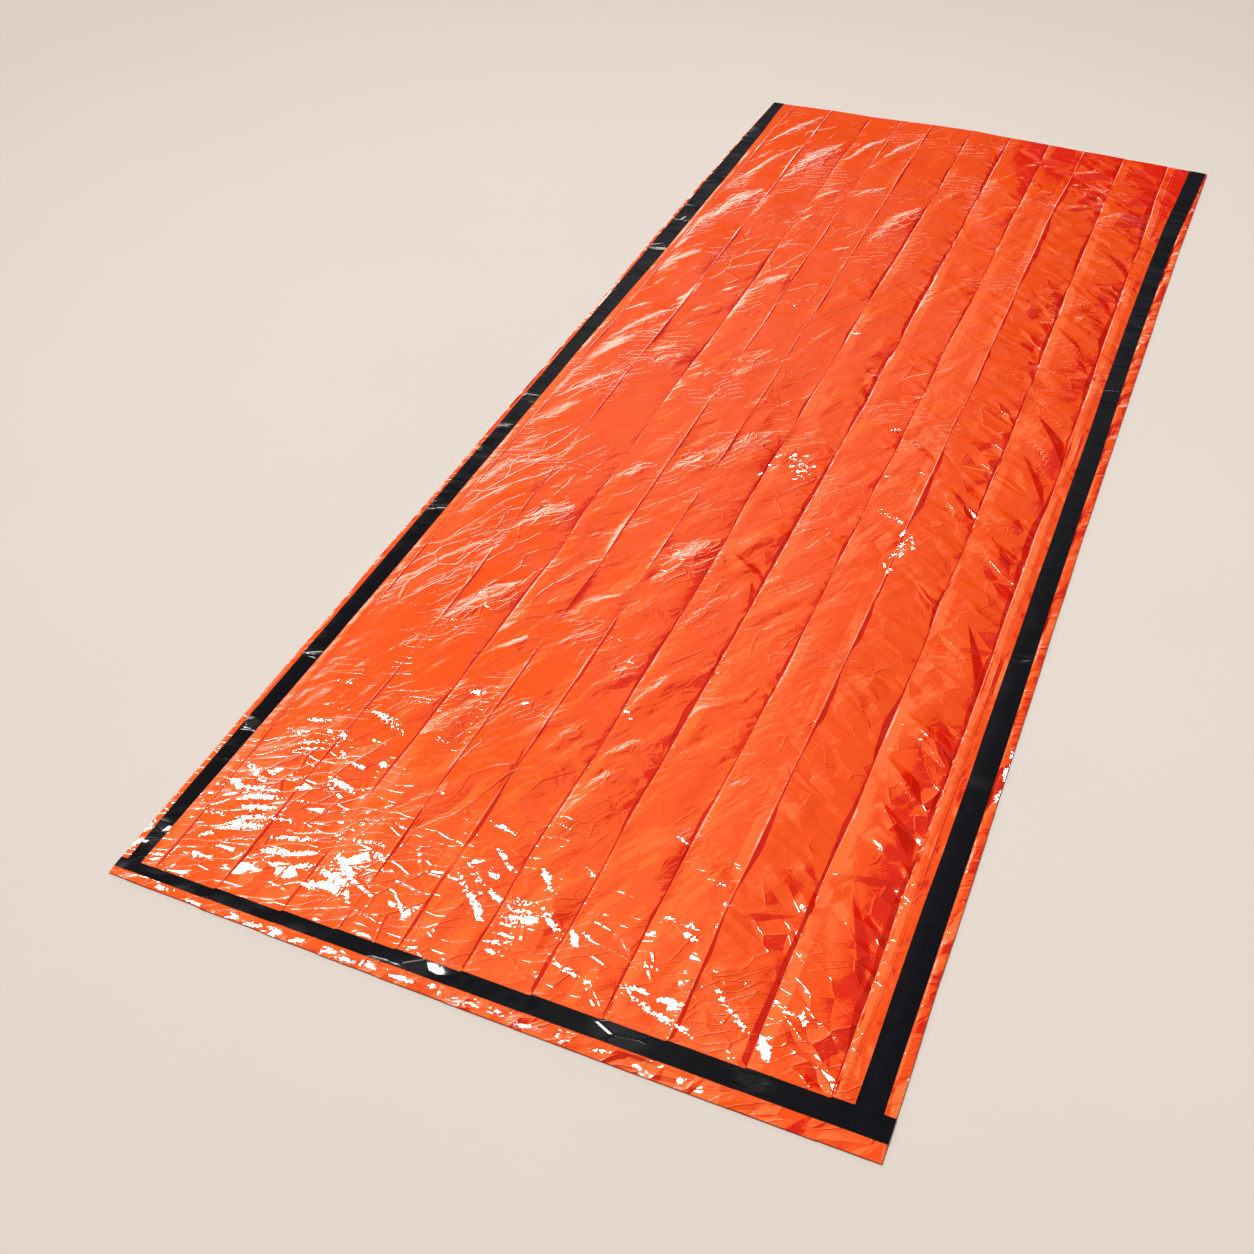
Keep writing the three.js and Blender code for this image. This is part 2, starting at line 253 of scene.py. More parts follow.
# %% [markdown]
# ## The pack creases
#
# A crease in film has two flanks. The one that leans to the right lies in shade and shows as a dark
# line of uneven width; the other may catch the light. A mesh fine enough for a flank of 3 mm would be
# far too heavy, so the mesh only bends at the crease, and each point also learns how far the nearest
# crease is. From that the finish draws the flanks.

# %% The nearest crease
FAR_AWAY = 1e3
UNEVEN_LENGTH = 74.0
UNEVEN_SEED = 200
UNEVEN_SHARE = 0.70
FINE_LENGTH = 24.0
FINE_SEED = 930
FINE_SHARE = 0.28
EVEN_SHARE = 0.65
LEAST_UNEVEN = 0.25
MOST_UNEVEN = 1.7
FOLD_LINE = 0.5


def nearest_crease(across, along):
    """Distance to the nearest crease, which side of it this is, and how wide its shaded flank is there.

    The side is 1 on the flank that leans to the right, so lies in shade. The width is negative on ridges.
    """
    distance = np.full_like(across, FAR_AWAY)
    side = np.zeros_like(across)
    width = np.ones_like(across)
    for index in CREASES:
        crease = LENGTHWISE[index]
        offset = across - line_across(index, along)
        coarse = patchy(0 * along, along, UNEVEN_LENGTH, UNEVEN_SEED + index)
        fine = patchy(across * 0.5, along, FINE_LENGTH, FINE_SEED + index)
        uneven = EVEN_SHARE + UNEVEN_SHARE * coarse + FINE_SHARE * fine
        uneven = np.clip(uneven, LEAST_UNEVEN, MOST_UNEVEN)
        closer = np.abs(offset) < distance
        distance = np.where(closer, np.abs(offset), distance)
        side = np.where(closer, np.clip(offset / FOLD_LINE, -1, 1) * crease.side, side)
        width = np.where(closer, -crease.side * crease.band * uneven, width)
    return distance, side, width


print("shaded flanks are up to", max(LENGTHWISE[index].band for index in CREASES), "mm wide")

# %% [markdown]
# ## Streaks
#
# From strip to strip the film is drawn into slanting rucks. On the left half each ruck turns one flank
# away from the viewer, and that flank catches the pale far side of the room as a milky streak. Each is
# given in one row: where its crest starts and ends, the width of its flank and how steep that is. A
# quarter of the slope is in the mesh. The rest is left to the finish, which can draw a crisper edge.

# %% Rucks of the left half
Ruck = namedtuple("Ruck", "from_across from_along to_across to_along width slope")
RUCKS = [
    Ruck(48, 1945, 118, 2100, 10, 0.126),
    Ruck(46, 1770, 120, 1955, 8, 0.126),
    Ruck(124, 1762, 190, 2000, 20, 0.148),
    Ruck(204, 1895, 260, 2050, 10, 0.163),
    Ruck(264, 1922, 320, 2060, 9, 0.178),
    Ruck(60, 1610, 118, 1760, 24, 0.133),
    Ruck(206, 1752, 258, 1800, 8, 0.163),
    Ruck(264, 1772, 320, 1835, 8, 0.178),
    Ruck(203, 1640, 228, 1690, 6, 0.155),
    Ruck(340, 1620, 398, 1790, 19, 0.192),
    Ruck(404, 1780, 438, 1870, 7, 0.207),
    Ruck(280, 1560, 330, 1600, 8, 0.178),
    Ruck(82, 1350, 121, 1480, 8, 0.133),
    Ruck(206, 1406, 261, 1470, 11, 0.163),
    Ruck(165, 1370, 203, 1410, 8, 0.155),
    Ruck(42, 1268, 82, 1312, 7, 0.126),
    Ruck(56, 1192, 120, 1300, 10, 0.133),
    Ruck(206, 1108, 262, 1162, 7, 0.163),
    Ruck(126, 1118, 200, 1180, 10, 0.148),
    Ruck(48, 996, 122, 1104, 10, 0.133),
    Ruck(342, 1240, 376, 1340, 7, 0.192),
    Ruck(206, 842, 264, 890, 15, 0.163),
    Ruck(270, 872, 332, 960, 17, 0.178),
    Ruck(334, 940, 378, 1030, 17, 0.192),
    Ruck(56, 812, 128, 862, 7, 0.133),
    Ruck(130, 690, 200, 762, 22, 0.148),
    Ruck(160, 800, 204, 850, 8, 0.148),
    Ruck(46, 700, 104, 800, 5, 0.126),
    Ruck(346, 640, 398, 772, 26, 0.192),
    Ruck(60, 572, 126, 662, 10, 0.133),
    Ruck(208, 690, 264, 730, 6, 0.163),
    Ruck(290, 588, 366, 640, 8, 0.185),
    Ruck(128, 476, 206, 600, 19, 0.148),
    Ruck(208, 452, 264, 505, 10, 0.163),
    Ruck(268, 485, 340, 545, 9, 0.178),
    Ruck(346, 412, 398, 540, 10, 0.192),
    Ruck(92, 392, 140, 478, 10, 0.133),
    Ruck(406, 430, 440, 520, 6, 0.207),
    Ruck(404, 560, 436, 660, 6, 0.207),
    Ruck(345, 325, 374, 396, 7, 0.192),
    Ruck(407, 340, 448, 396, 9, 0.207),
    Ruck(411, 292, 440, 342, 8, 0.207),
    Ruck(230, 300, 258, 325, 5, 0.163),
    Ruck(550, 345, 575, 385, 5, 0.23),
    Ruck(72, 370, 112, 396, 12, 0.13),
]
RUCK_BACK = 40.0
RUCK_IN_MESH = 0.25
LENS_START = 0.55
LENS_END = 0.35


def ruck_shape(ruck, across, along):
    """Distance off a ruck's crest, its width there, and how far outside its length the place is."""
    start = np.array([ruck.from_across, ruck.from_along], float)
    span = np.array([ruck.to_across, ruck.to_along], float) - start
    length = np.hypot(*span)
    run = ((across - start[0]) * span[0] + (along - start[1]) * span[1]) / length**2
    off = ((along - start[1]) * span[0] - (across - start[0]) * span[1]) / length
    lens = np.clip(np.minimum(run / LENS_START, (1 - run) / LENS_END), 0, 1) ** 0.8
    beyond = np.maximum(np.abs(run - 0.5) - 0.5, 0) * length
    return off, ruck.width * lens, beyond


print("rucks placed by hand:", len(RUCKS))

# %% [markdown]
# ## Dents
#
# On the right half the film is dented beside the creases. A dent is a lens-shaped facet, as a ruck's
# flank is, but it leans to the right, away from the light, and so the finish paints it dark red as
# shade. The rows give its middle, length, width, turn and depth, as one would note them with a ruler,
# and a small function makes a ruck of each.

# %% Dents of the right half
Dent = namedtuple("Dent", "across along length width turn depth")
DENTS = [
    Dent(560, 2075, 120, 34, -12, 2.4),
    Dent(640, 2040, 130, 40, 20, 2.6),
    Dent(715, 2050, 90, 22, -15, 1.8),
    Dent(735, 2000, 80, 18, -20, 1.6),
    Dent(540, 1960, 90, 20, -35, 1.8),
    Dent(600, 1925, 80, 20, 12, 1.9),
    Dent(650, 1940, 90, 24, 25, 2.0),
    Dent(735, 1955, 60, 20, 5, 1.8),
    Dent(590, 1870, 80, 18, -25, 1.8),
    Dent(640, 1880, 80, 18, 30, 1.9),
    Dent(725, 1865, 90, 26, 10, 2.2),
    Dent(700, 1840, 60, 14, 20, 1.5),
    Dent(560, 1800, 60, 12, 50, 1.3),
    Dent(665, 1790, 80, 14, 10, 1.6),
    Dent(735, 1725, 105, 18, -42, 2.4),
    Dent(710, 1690, 60, 14, -10, 1.6),
    Dent(650, 1645, 60, 12, -10, 1.5),
    Dent(715, 1640, 70, 14, 8, 1.7),
    Dent(735, 1590, 80, 16, -48, 2.0),
    Dent(660, 1580, 60, 12, -30, 1.5),
    Dent(715, 1545, 60, 14, 5, 1.6),
    Dent(645, 1515, 60, 14, -35, 1.6),
    Dent(735, 1510, 80, 12, -20, 1.5),
    Dent(720, 1440, 90, 14, -55, 1.8),
    Dent(740, 1390, 70, 12, -50, 1.6),
    Dent(735, 1310, 70, 12, -15, 1.5),
    Dent(720, 1240, 80, 12, -35, 1.6),
    Dent(748, 1165, 130, 24, -62, 2.8),
    Dent(575, 1068, 110, 14, -36, 1.9),
    Dent(625, 1015, 60, 16, -10, 1.8),
    Dent(665, 965, 110, 12, -52, 1.7),
    Dent(745, 1060, 120, 14, -65, 1.8),
    Dent(735, 960, 60, 16, -40, 1.6),
    Dent(660, 880, 80, 12, -30, 1.4),
    Dent(740, 880, 80, 14, -60, 1.6),
    Dent(450, 725, 80, 14, -35, 2.2),
    Dent(470, 670, 70, 14, -75, 2.0),
    Dent(758, 660, 150, 20, -72, 2.8),
    Dent(655, 585, 60, 12, -20, 1.4),
    Dent(650, 530, 70, 12, -40, 1.4),
    Dent(740, 530, 80, 16, -30, 1.8),
    Dent(730, 450, 80, 18, -45, 1.8),
    Dent(745, 370, 90, 22, -55, 2.2),
    Dent(735, 300, 90, 18, 15, 1.8),
    Dent(745, 220, 120, 18, -70, 2.0),
    Dent(590, 240, 90, 12, -25, 1.5),
    Dent(650, 210, 70, 12, 20, 1.3),
]
DENT_LEAN = 0.11
DENT_NARROWNESS = 0.75
LEAST_LEAN = 0.7
LIGHT_ACROSS = 0.96
LIGHT_ALONG = -0.28


def dent_as_ruck(dent):
    """The same facet as a ruck, with its crest on the side that turns the flank from the light."""
    turn = math.radians(dent.turn)
    half = np.array([math.cos(turn), math.sin(turn)]) * dent.length / 2
    leans_right = (-LIGHT_ACROSS * half[1] + LIGHT_ALONG * half[0]) / (dent.length / 2)
    if leans_right < 0:
        half = -half
    slope = DENT_LEAN * dent.depth / max(abs(leans_right), LEAST_LEAN)
    start = dent.across - half[0], dent.along - half[1]
    end = dent.across + half[0], dent.along + half[1]
    return Ruck(*start, *end, dent.width * DENT_NARROWNESS, slope)


FACETS = RUCKS + [dent_as_ruck(dent) for dent in DENTS]
print("facets placed by hand:", len(FACETS))

# %% [markdown]
# Rucks and dents are now one list of facets. The mesh takes a share of each, so that the light on the
# broad form follows them. Each point of the film also learns its nearest facet, from which the finish
# draws the rest. The facets could be cut into the mesh as edges, but then every corrected row would
# mean new edges.

# %% Facets in the mesh and for the finish
RAGGED = 0.30
RAGGED_CELL = 15.0
RAGGED_WIDTH = 12.0
RAGGED_SEED = 601
FACET_REACH = (1.5, 3.0)
FACET_GAP = (5, 16)


def ruck_rise(across, along):
    """Each facet is a crest with one flat steep flank and a long easy slope behind it."""
    total = np.zeros_like(across)
    for ruck in FACETS:
        off, wide, _ = ruck_shape(ruck, across, along)
        flank = np.clip(1 - off / np.maximum(wide, 1), 0, 1)
        behind = np.exp(np.minimum(off, 0) / RUCK_BACK)
        total += RUCK_IN_MESH * ruck.slope * wide * np.where(off > 0, flank, behind)
    return total


def ruck_places(across, along):
    """The nearest facet of each place: distance from its crest, height, width, and 1 if it is a streak.

    Half-way between two facets the height fades, because a jump from one to the other would show as a line.
    """
    nearest = np.full_like(across, 1e9)
    second = np.full_like(across, 1e9)
    offset = np.full_like(across, FAR_AWAY)
    width = np.zeros_like(across)
    slope = np.zeros_like(across)
    streaky = np.zeros_like(across)
    full_width = np.ones_like(across)
    ragged = RAGGED * patchy(across, along, RAGGED_CELL, RAGGED_SEED)
    for number, ruck in enumerate(FACETS):
        off, wide, beyond = ruck_shape(ruck, across, along)
        apart = np.hypot(off - ruck.width / 2, beyond) / ruck.width
        closer = apart < nearest
        second = np.where(closer, nearest, np.minimum(second, apart))
        nearest = np.where(closer, apart, nearest)
        streak = 1.0 if number < len(RUCKS) else 0.0
        offset = np.where(closer, off + streak * ragged * min(ruck.width, RAGGED_WIDTH), offset)
        width = np.where(closer, wide, width)
        full_width = np.where(closer, ruck.width, full_width)
        slope = np.where(closer, ruck.slope, slope)
        streaky = np.where(closer, streak, streaky)
    fade = (1 - smooth(nearest, *FACET_REACH)) * smooth((second - nearest) * full_width, *FACET_GAP)
    return offset, (1 - RUCK_IN_MESH) * slope * width * fade, np.maximum(width, 1.0), streaky


print("share of each facet in the mesh:", RUCK_IN_MESH)

# %% [markdown]
# ## Shards of light
#
# Near the foot many small facets lie just so that the softbox shows in them as white shards. They are
# listed one row each: where the shard lies, its length, its width and its turn. Which way such a facet
# faces follows from where the softbox is and where the bag is looked at from, so both are set here.

# %% The shards
CAMERA_PLACE = Vector((0.5003, -1.8133, 1.2788))
KEY_FROM = (-0.44, 0.23, 0.868)
Shard = namedtuple("Shard", "across along length width turn")
SHARDS = [
    Shard(152, 310, 50, 8, -5),
    Shard(162, 302, 28, 5, 0),
    Shard(178, 296, 30, 5, -20),
    Shard(84, 276, 34, 7, 16),
    Shard(106, 265, 14, 8, 10),
    Shard(124, 265, 14, 8, -40),
    Shard(165, 271, 20, 5, -5),
    Shard(70, 253, 38, 6, 8),
    Shard(76, 246, 34, 4, 6),
    Shard(93, 241, 45, 5, 30),
    Shard(98, 232, 40, 5, 28),
    Shard(139, 238, 17, 7, -50),
    Shard(165, 230, 32, 7, -3),
    Shard(188, 243, 16, 10, -35),
    Shard(160, 199, 54, 10, -8),
    Shard(111, 212, 26, 4, 3),
    Shard(58, 182, 38, 9, -32),
    Shard(82, 184, 20, 5, 5),
    Shard(50, 158, 34, 11, -20),
    Shard(78, 160, 58, 7, 12),
    Shard(88, 150, 52, 9, 15),
    Shard(92, 136, 50, 9, 18),
    Shard(96, 123, 50, 8, 20),
    Shard(94, 110, 42, 9, 15),
    Shard(55, 113, 30, 5, 10),
    Shard(125, 178, 24, 8, 20),
    Shard(134, 161, 18, 4, 8),
    Shard(128, 132, 30, 5, 15),
    Shard(150, 114, 60, 6, 20),
    Shard(172, 100, 42, 9, 25),
    Shard(145, 92, 38, 9, 15),
    Shard(180, 85, 28, 9, 30),
    Shard(150, 76, 32, 5, 0),
    Shard(60, 84, 20, 8, 40),
    Shard(130, 62, 30, 9, 10),
    Shard(70, 56, 40, 7, 8),
    Shard(224, 101, 60, 11, -36),
    Shard(218, 86, 46, 11, -12),
    Shard(208, 71, 40, 12, 22),
    Shard(240, 72, 28, 9, -40),
    Shard(225, 137, 62, 5, 10),
    Shard(250, 126, 26, 6, -20),
    Shard(295, 78, 26, 7, 5),
    Shard(310, 72, 18, 9, -30),
    Shard(310, 206, 24, 5, -60),
    Shard(355, 211, 40, 6, -12),
    Shard(370, 177, 24, 7, -30),
    Shard(385, 166, 26, 7, -20),
    Shard(350, 158, 28, 5, 25),
    Shard(375, 150, 32, 8, -35),
    Shard(360, 140, 32, 6, -45),
    Shard(386, 128, 30, 9, -30),
    Shard(350, 129, 42, 6, -40),
    Shard(365, 116, 42, 9, -40),
    Shard(378, 104, 34, 10, -50),
    Shard(425, 170, 30, 10, -40),
    Shard(436, 158, 24, 7, -30),
    Shard(418, 131, 32, 6, 15),
    Shard(420, 121, 30, 6, 10),
    Shard(418, 111, 30, 7, 15),
    Shard(415, 101, 26, 5, 8),
    Shard(417, 88, 28, 6, 10),
    Shard(415, 78, 28, 6, 12),
    Shard(415, 67, 26, 7, 20),
    Shard(445, 128, 28, 6, -40),
    Shard(456, 118, 34, 8, -25),
    Shard(483, 112, 30, 10, -55),
    Shard(497, 118, 24, 6, -25),
    Shard(498, 73, 62, 6, -12),
    Shard(470, 190, 16, 5, -40),
    Shard(553, 145, 14, 9, 30),
    Shard(563, 168, 18, 6, 0),
    Shard(588, 167, 28, 7, 0),
    Shard(592, 155, 30, 8, -20),
    Shard(564, 108, 32, 5, 0),
    Shard(568, 80, 34, 7, -5),
    Shard(572, 68, 42, 6, -10),
    Shard(600, 79, 30, 10, 10),
    Shard(595, 61, 50, 9, -10),
    Shard(625, 55, 26, 7, -30),
    Shard(645, 105, 32, 5, -40),
    Shard(660, 91, 46, 5, -30),
    Shard(672, 82, 42, 5, -35),
    Shard(702, 66, 34, 13, -60),
    Shard(712, 111, 12, 6, 0),
    Shard(727, 110, 20, 9, -60),
    Shard(232, 387, 24, 7, 15),
    Shard(292, 390, 14, 7, 20),
    Shard(82, 345, 36, 4, 5),
    Shard(540, 268, 22, 5, -20),
    Shard(598, 229, 16, 5, -10),
    Shard(610, 207, 22, 5, -5),
    Shard(410, 1330, 20, 6, 20),
    Shard(300, 1370, 22, 6, -30),
    Shard(540, 1100, 20, 6, 30),
    Shard(425, 985, 22, 5, 60),
    Shard(432, 975, 24, 5, -20),
    Shard(440, 990, 20, 5, 70),
    Shard(446, 968, 26, 5, -25),
    Shard(452, 955, 22, 5, -30),
    Shard(438, 950, 24, 5, 10),
    Shard(448, 940, 20, 5, -35),
    Shard(458, 970, 18, 5, 50),
    Shard(430, 960, 18, 5, 40),
    Shard(442, 930, 18, 5, -10),
    Shard(404, 975, 14, 5, 60),
    Shard(401, 950, 14, 5, 70),
    Shard(396, 925, 13, 5, 60),
    Shard(612, 870, 26, 5, 80),
    Shard(619, 850, 32, 5, 75),
    Shard(623, 830, 30, 5, 80),
    Shard(614, 822, 24, 5, 70),
    Shard(627, 862, 26, 5, 110),
    Shard(633, 845, 22, 5, 115),
    Shard(610, 800, 22, 5, 80),
    Shard(616, 788, 18, 5, 75),
    Shard(585, 900, 32, 5, -15),
    Shard(601, 893, 18, 5, -10),
    Shard(570, 908, 18, 5, 30),
    Shard(560, 985, 16, 5, 20),
    Shard(600, 1010, 20, 5, -40),
    Shard(60, 4, 30, 6, 10),
    Shard(150, 3, 24, 6, -20),
    Shard(175, 0, 30, 6, 15),
    Shard(200, 4, 26, 7, -10),
    Shard(225, 1, 30, 6, 20),
    Shard(262, 4, 26, 7, -15),
    Shard(285, 0, 30, 7, 10),
    Shard(310, 3, 24, 6, -25),
    Shard(345, 2, 36, 7, 5),
    Shard(380, 5, 24, 7, -20),
    Shard(420, 1, 30, 6, 10),
    Shard(450, 4, 26, 6, -15),
    Shard(480, 0, 30, 6, 12),
    Shard(520, 2, 26, 6, -10),
    Shard(560, 3, 26, 6, 15),
    Shard(600, 1, 26, 6, -15),
    Shard(640, 3, 20, 6, 10),
    Shard(833, 470, 30, 7, 84),
    Shard(834, 505, 34, 8, 88),
    Shard(833, 540, 26, 6, 92),
    Shard(-3, 70, 26, 7, 80),
    Shard(-2, 45, 22, 7, 70),
    Shard(408, 424, 14, 6, 20),
    Shard(414, 416, 12, 5, -20),
]
FAR_OUTSIDE = 10.0


def shard_inside(across, along):
    """How far inside the nearest shard a place is, in millimetres, counted from FAR_OUTSIDE outside it."""
    inside = np.full_like(across, -FAR_OUTSIDE)
    for shard in SHARDS:
        turn = math.radians(shard.turn)
        run = (across - shard.across) * math.cos(turn) + (along - shard.along) * math.sin(turn)
        off = (along - shard.along) * math.cos(turn) - (across - shard.across) * math.sin(turn)
        share = 2 * run / shard.length
        inside = np.maximum(inside, shard.width / 2 * (1 - share**2) - np.abs(off))
    return inside + FAR_OUTSIDE


def facing_softbox(places):
    """The direction a facet faces when it shows the softbox to the viewer."""
    to_viewer = np.array(CAMERA_PLACE) - places * MM
    to_viewer = to_viewer / np.linalg.norm(to_viewer, axis=1)[:, None]
    between = to_viewer + np.array(KEY_FROM) / np.linalg.norm(KEY_FROM)
    return between / np.linalg.norm(between, axis=1)[:, None]


print("shards placed by hand:", len(SHARDS))

# %% [markdown]
# ## Crumple
#
# What is left is the general crumple of packed film: many flat facets with straight edges between them.
# Around scattered points the film is split into cells, and each cell is a low tent or a low pit, as
# when a sheet of paper has been balled up and smoothed out. The cells are stretched along the rucks on
# the left half and across the bag on the right half, and they start afresh in every strip, because a
# crease stops a wrinkle.

# %% Crumple of packed film
CRUMPLE_SEED = 11
RIGHT_CRUMPLE_SEED = 31
Crumple = namedtuple("Crumple", "cell stretch turn slope")
CRUMPLES = [
    Crumple(74, 2.0, 60, 0.035),
    Crumple(38, 2.2, 66, 0.030),
]
RIGHT_CRUMPLES = [
    Crumple(60, 2.0, -14, 0.035),
    Crumple(32, 2.2, -24, 0.032),
]
RIGHT_STARTS = 520.0
RIGHT_FULL = 640.0
STRIP_SHIFT = 137.0
CREASE_PIN = 6.0
TABLE = 64


def pinned(across, along):
    """0 on a crease and near 1 a little way off it: wrinkles stop at creases."""
    nearest = np.full_like(across, 1e9)
    for index in CREASES:
        nearest = np.minimum(nearest, np.abs(across - line_across(index, along)))
    return 1 - np.exp(-nearest / CREASE_PIN)


def facet_rise(across, along, crumple, seed):
    """Height of the tents and pits: the slope of the own cell times the distance from its edge."""
    rng = np.random.default_rng(seed)
    jitter = rng.uniform(0.1, 0.9, (TABLE, TABLE, 2))
    slopes = crumple.slope * rng.normal(0, 1, (TABLE, TABLE))
    turn = math.radians(crumple.turn)
    run = (across * math.cos(turn) + along * math.sin(turn)) / (crumple.cell * crumple.stretch)
    off = (along * math.cos(turn) - across * math.sin(turn)) / crumple.cell
    column = np.floor(run).astype(int)
    row = np.floor(off).astype(int)
    steps = [(right, up) for right in range(-2, 3) for up in range(-2, 3)]

    def centre(right, up):
        place = jitter[(row + up) % TABLE, (column + right) % TABLE]
        return column + right + place[..., 0], row + up + place[..., 1]

    nearest = np.full_like(run, 1e9)
    own_run = np.zeros_like(run)
    own_off = np.zeros_like(run)
    slope = np.zeros_like(run)
    for right, up in steps:
        there_run, there_off = centre(right, up)
        distance = np.hypot(there_run - run, there_off - off)
        closer = distance < nearest
        nearest = np.where(closer, distance, nearest)
        own_run = np.where(closer, there_run, own_run)
        own_off = np.where(closer, there_off, own_off)
        slope = np.where(closer, slopes[(row + up) % TABLE, (column + right) % TABLE], slope)
    to_edge = np.full_like(run, 1e9)
    for right, up in steps:
        there_run, there_off = centre(right, up)
        gap = np.hypot(there_run - own_run, there_off - own_off)
        middle = (there_run + own_run) / 2 - run, (there_off + own_off) / 2 - off
        span = there_run - own_run, there_off - own_off
        beside = (middle[0] * span[0] + middle[1] * span[1]) / np.maximum(gap, 1e-9)
        to_edge = np.where(gap > 1e-6, np.minimum(to_edge, beside), to_edge)
    return slope * np.maximum(to_edge, 0) * crumple.cell


def crumple_rise(line, across, along):
    """Height of the crumple in each strip, with one grain on the left half and another on the right."""
    total = np.zeros_like(across)
    to_right = smooth(across, RIGHT_STARTS, RIGHT_FULL)
    shifted = along + STRIP_SHIFT * line
    for number, crumple in enumerate(CRUMPLES):
        total += (1 - to_right) * facet_rise(across, shifted, crumple, CRUMPLE_SEED + number)
    for number, crumple in enumerate(RIGHT_CRUMPLES):
        total += to_right * facet_rise(across, shifted, crumple, RIGHT_CRUMPLE_SEED + number)
    return total


print("crumple cells:", [crumple.cell for crumple in CRUMPLES + RIGHT_CRUMPLES], "mm")

# %% [markdown]
# ## The whole film
#
# The heights are added up. Near the tapes the film is sealed flat, so each part is weighed by the
# distance from the seals. Outside the seals a narrow margin puckers a little, as film does beside a hot
# seam.

# %% Heights added up
MARGIN_HEIGHT = 1.6
PUCKER = 0.5
PUCKER_CELL = 22.0
PUCKER_SEED = 800
SEAL_SOFTNESS = 6.0
FOOT_SOFTNESS = 14.0
DEEPEST_BODY = -0.6
MIDDLE_LINE = 8


def film_points(line, part, along):
    """Places of the front film in millimetres, for columns given as a line and a share towards the next."""
    lines = np.array([line_across(index, along[:, 0]) for index in range(len(LENGTHWISE))]).T
    across = lines[:, line] + (lines[:, line + 1] - lines[:, line]) * part
    line_grid = np.broadcast_to(line, across.shape)
    left = across - lines[:, [LEFT_SEAL]]
    right = lines[:, [RIGHT_SEAL]] - across
    foot = along - bowed(*FOOT_TAPE_UPPER, across / WIDTH)
    free = smooth(np.minimum(left, right), 0, SEAL_RAMP)
    inside = smooth(np.minimum(left, right), 0, SEAL_SOFTNESS)
    foot_free = smooth(foot, 0, FOOT_RAMP)
    foot_near = smooth(foot, 0, FOOT_SOFTNESS)
    broad = broad_rise(line_grid, np.broadcast_to(part, across.shape), along)
    loose = PUFF + cross_fold_rise(across, along)
    fine = crumple_rise(line_grid, across, along) + ruck_rise(across, along)
    body = (broad + free * loose) * foot_free + loft_rise(across, along)
    body = body + inside * foot_near * pinned(across, along) * fine
    mouth_near = smooth(along, LENGTH - MOUTH_DEPTH, LENGTH)
    crown = CROWN_LIFT * np.clip(1 - np.abs(across - CROWN_ACROSS) / CROWN_REACH, 0, 1)
    rise = np.maximum(body, DEEPEST_BODY) * (1 + (MOUTH_SETTLE - 1) * mouth_near) + crown * mouth_near
    pucker = PUCKER * np.abs(patchy(across, along, PUCKER_CELL, PUCKER_SEED)) * (1 - inside * foot_near)
    return across, along, MARGIN_HEIGHT + np.maximum(rise, 0) + pucker


half_way = film_points(np.array([MIDDLE_LINE]), np.array([0.0]), np.array([[LENGTH / 2]]))
print("height in the middle of the film:", round(float(half_way[2].max()), 1), "mm")

# %% [markdown]
# ## Laying a sheet
#
# A sheet starts as Blender's grid, which already has tidy quads, and its points are moved to their
# measured places. A cloth simulation could drape the film too, but it wouldn't find the creases of this
# very bag. The film gets a fine grid with a column on every crease, and rows that stand closer together
# towards the foot, where the camera comes near.

# %% Sheets from a grid
GATHER = 0.55
LEFTMOST = -8.6


def gathered(run):
    """Moves even steps from 0 to 1 towards both ends, where the creases are."""
    return run - GATHER * math.sin(2 * math.pi * run) / (2 * math.pi)


def spaced_columns(pitch, first, last):
    """Columns as (line, part), with one on every listed line and about one pitch between them."""
    line = []
    part = []
    for index in range(first, last):
        strip = LENGTHWISE[index + 1].middle - LENGTHWISE[index].middle
        steps = max(2, round(strip / pitch))
        line += [index] * steps
        part += [gathered(step / steps) for step in range(steps)]
    return np.array(line + [last - 1]), np.array(part + [1.0])


def add_grid(name, columns, rows):
    """A flat grid primitive, with the column and row of each of its points."""
    bpy.ops.object.select_all(action="DESELECT")
    bpy.ops.mesh.primitive_grid_add(x_subdivisions=columns - 1, y_subdivisions=rows - 1, size=1)
    piece = bpy.context.object
    piece.name = name
    piece.data.name = name
    flat = np.empty(len(piece.data.vertices) * 3)
    piece.data.vertices.foreach_get("co", flat)
    flat = flat.reshape(-1, 3)
    column = np.rint((flat[:, 0] + 0.5) * (columns - 1)).astype(int)
    row = np.rint((flat[:, 1] + 0.5) * (rows - 1)).astype(int)
    return piece, column, row


def lay_sheet(name, across, along, height):
    """A sheet whose grid points lie at these places, measured on the bag in millimetres."""
    rows, columns = across.shape
    piece, column, row = add_grid(name, columns, rows)
    places = np.stack([across - ORIGIN[0], along - ORIGIN[1], height], axis=-1) * MM
    piece.data.vertices.foreach_set("co", places[row, column].ravel())
    piece.data.update()
    bpy.ops.object.shade_smooth()
    print(name, "has", 2 * (rows - 1) * (columns - 1), "triangles")
    return piece


front_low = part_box("front_panel")[0]
LOWEST = min(bowed(*FOOT_EDGE, np.linspace(0, 1, 200)))
ORIGIN = (LEFTMOST - front_low.x / MM, LOWEST - front_low.y / MM)
print("the frame's zero lies", [round(value, 1) for value in ORIGIN], "mm from the bag's left and foot")

# %% [markdown]
# The film's own edges at the foot and at the mouth bow a little. The rows near them are drawn along, so
# that no row is cut off.

# %% The front film
FILM_PITCH = 3.75
FILM_ROWS = 437
FOOT_CLOSENESS = 0.74


def column_run(line):
    """How far across the bag a column is, from 0 to 1."""
    return np.array([LENGTHWISE[index].middle for index in line]) / WIDTH


def drawn_by_foot(nominal, across_run):
    return np.clip(1 - nominal / EDGE_BOW_REACH, 0, 1) * bowed(*FOOT_EDGE, across_run)


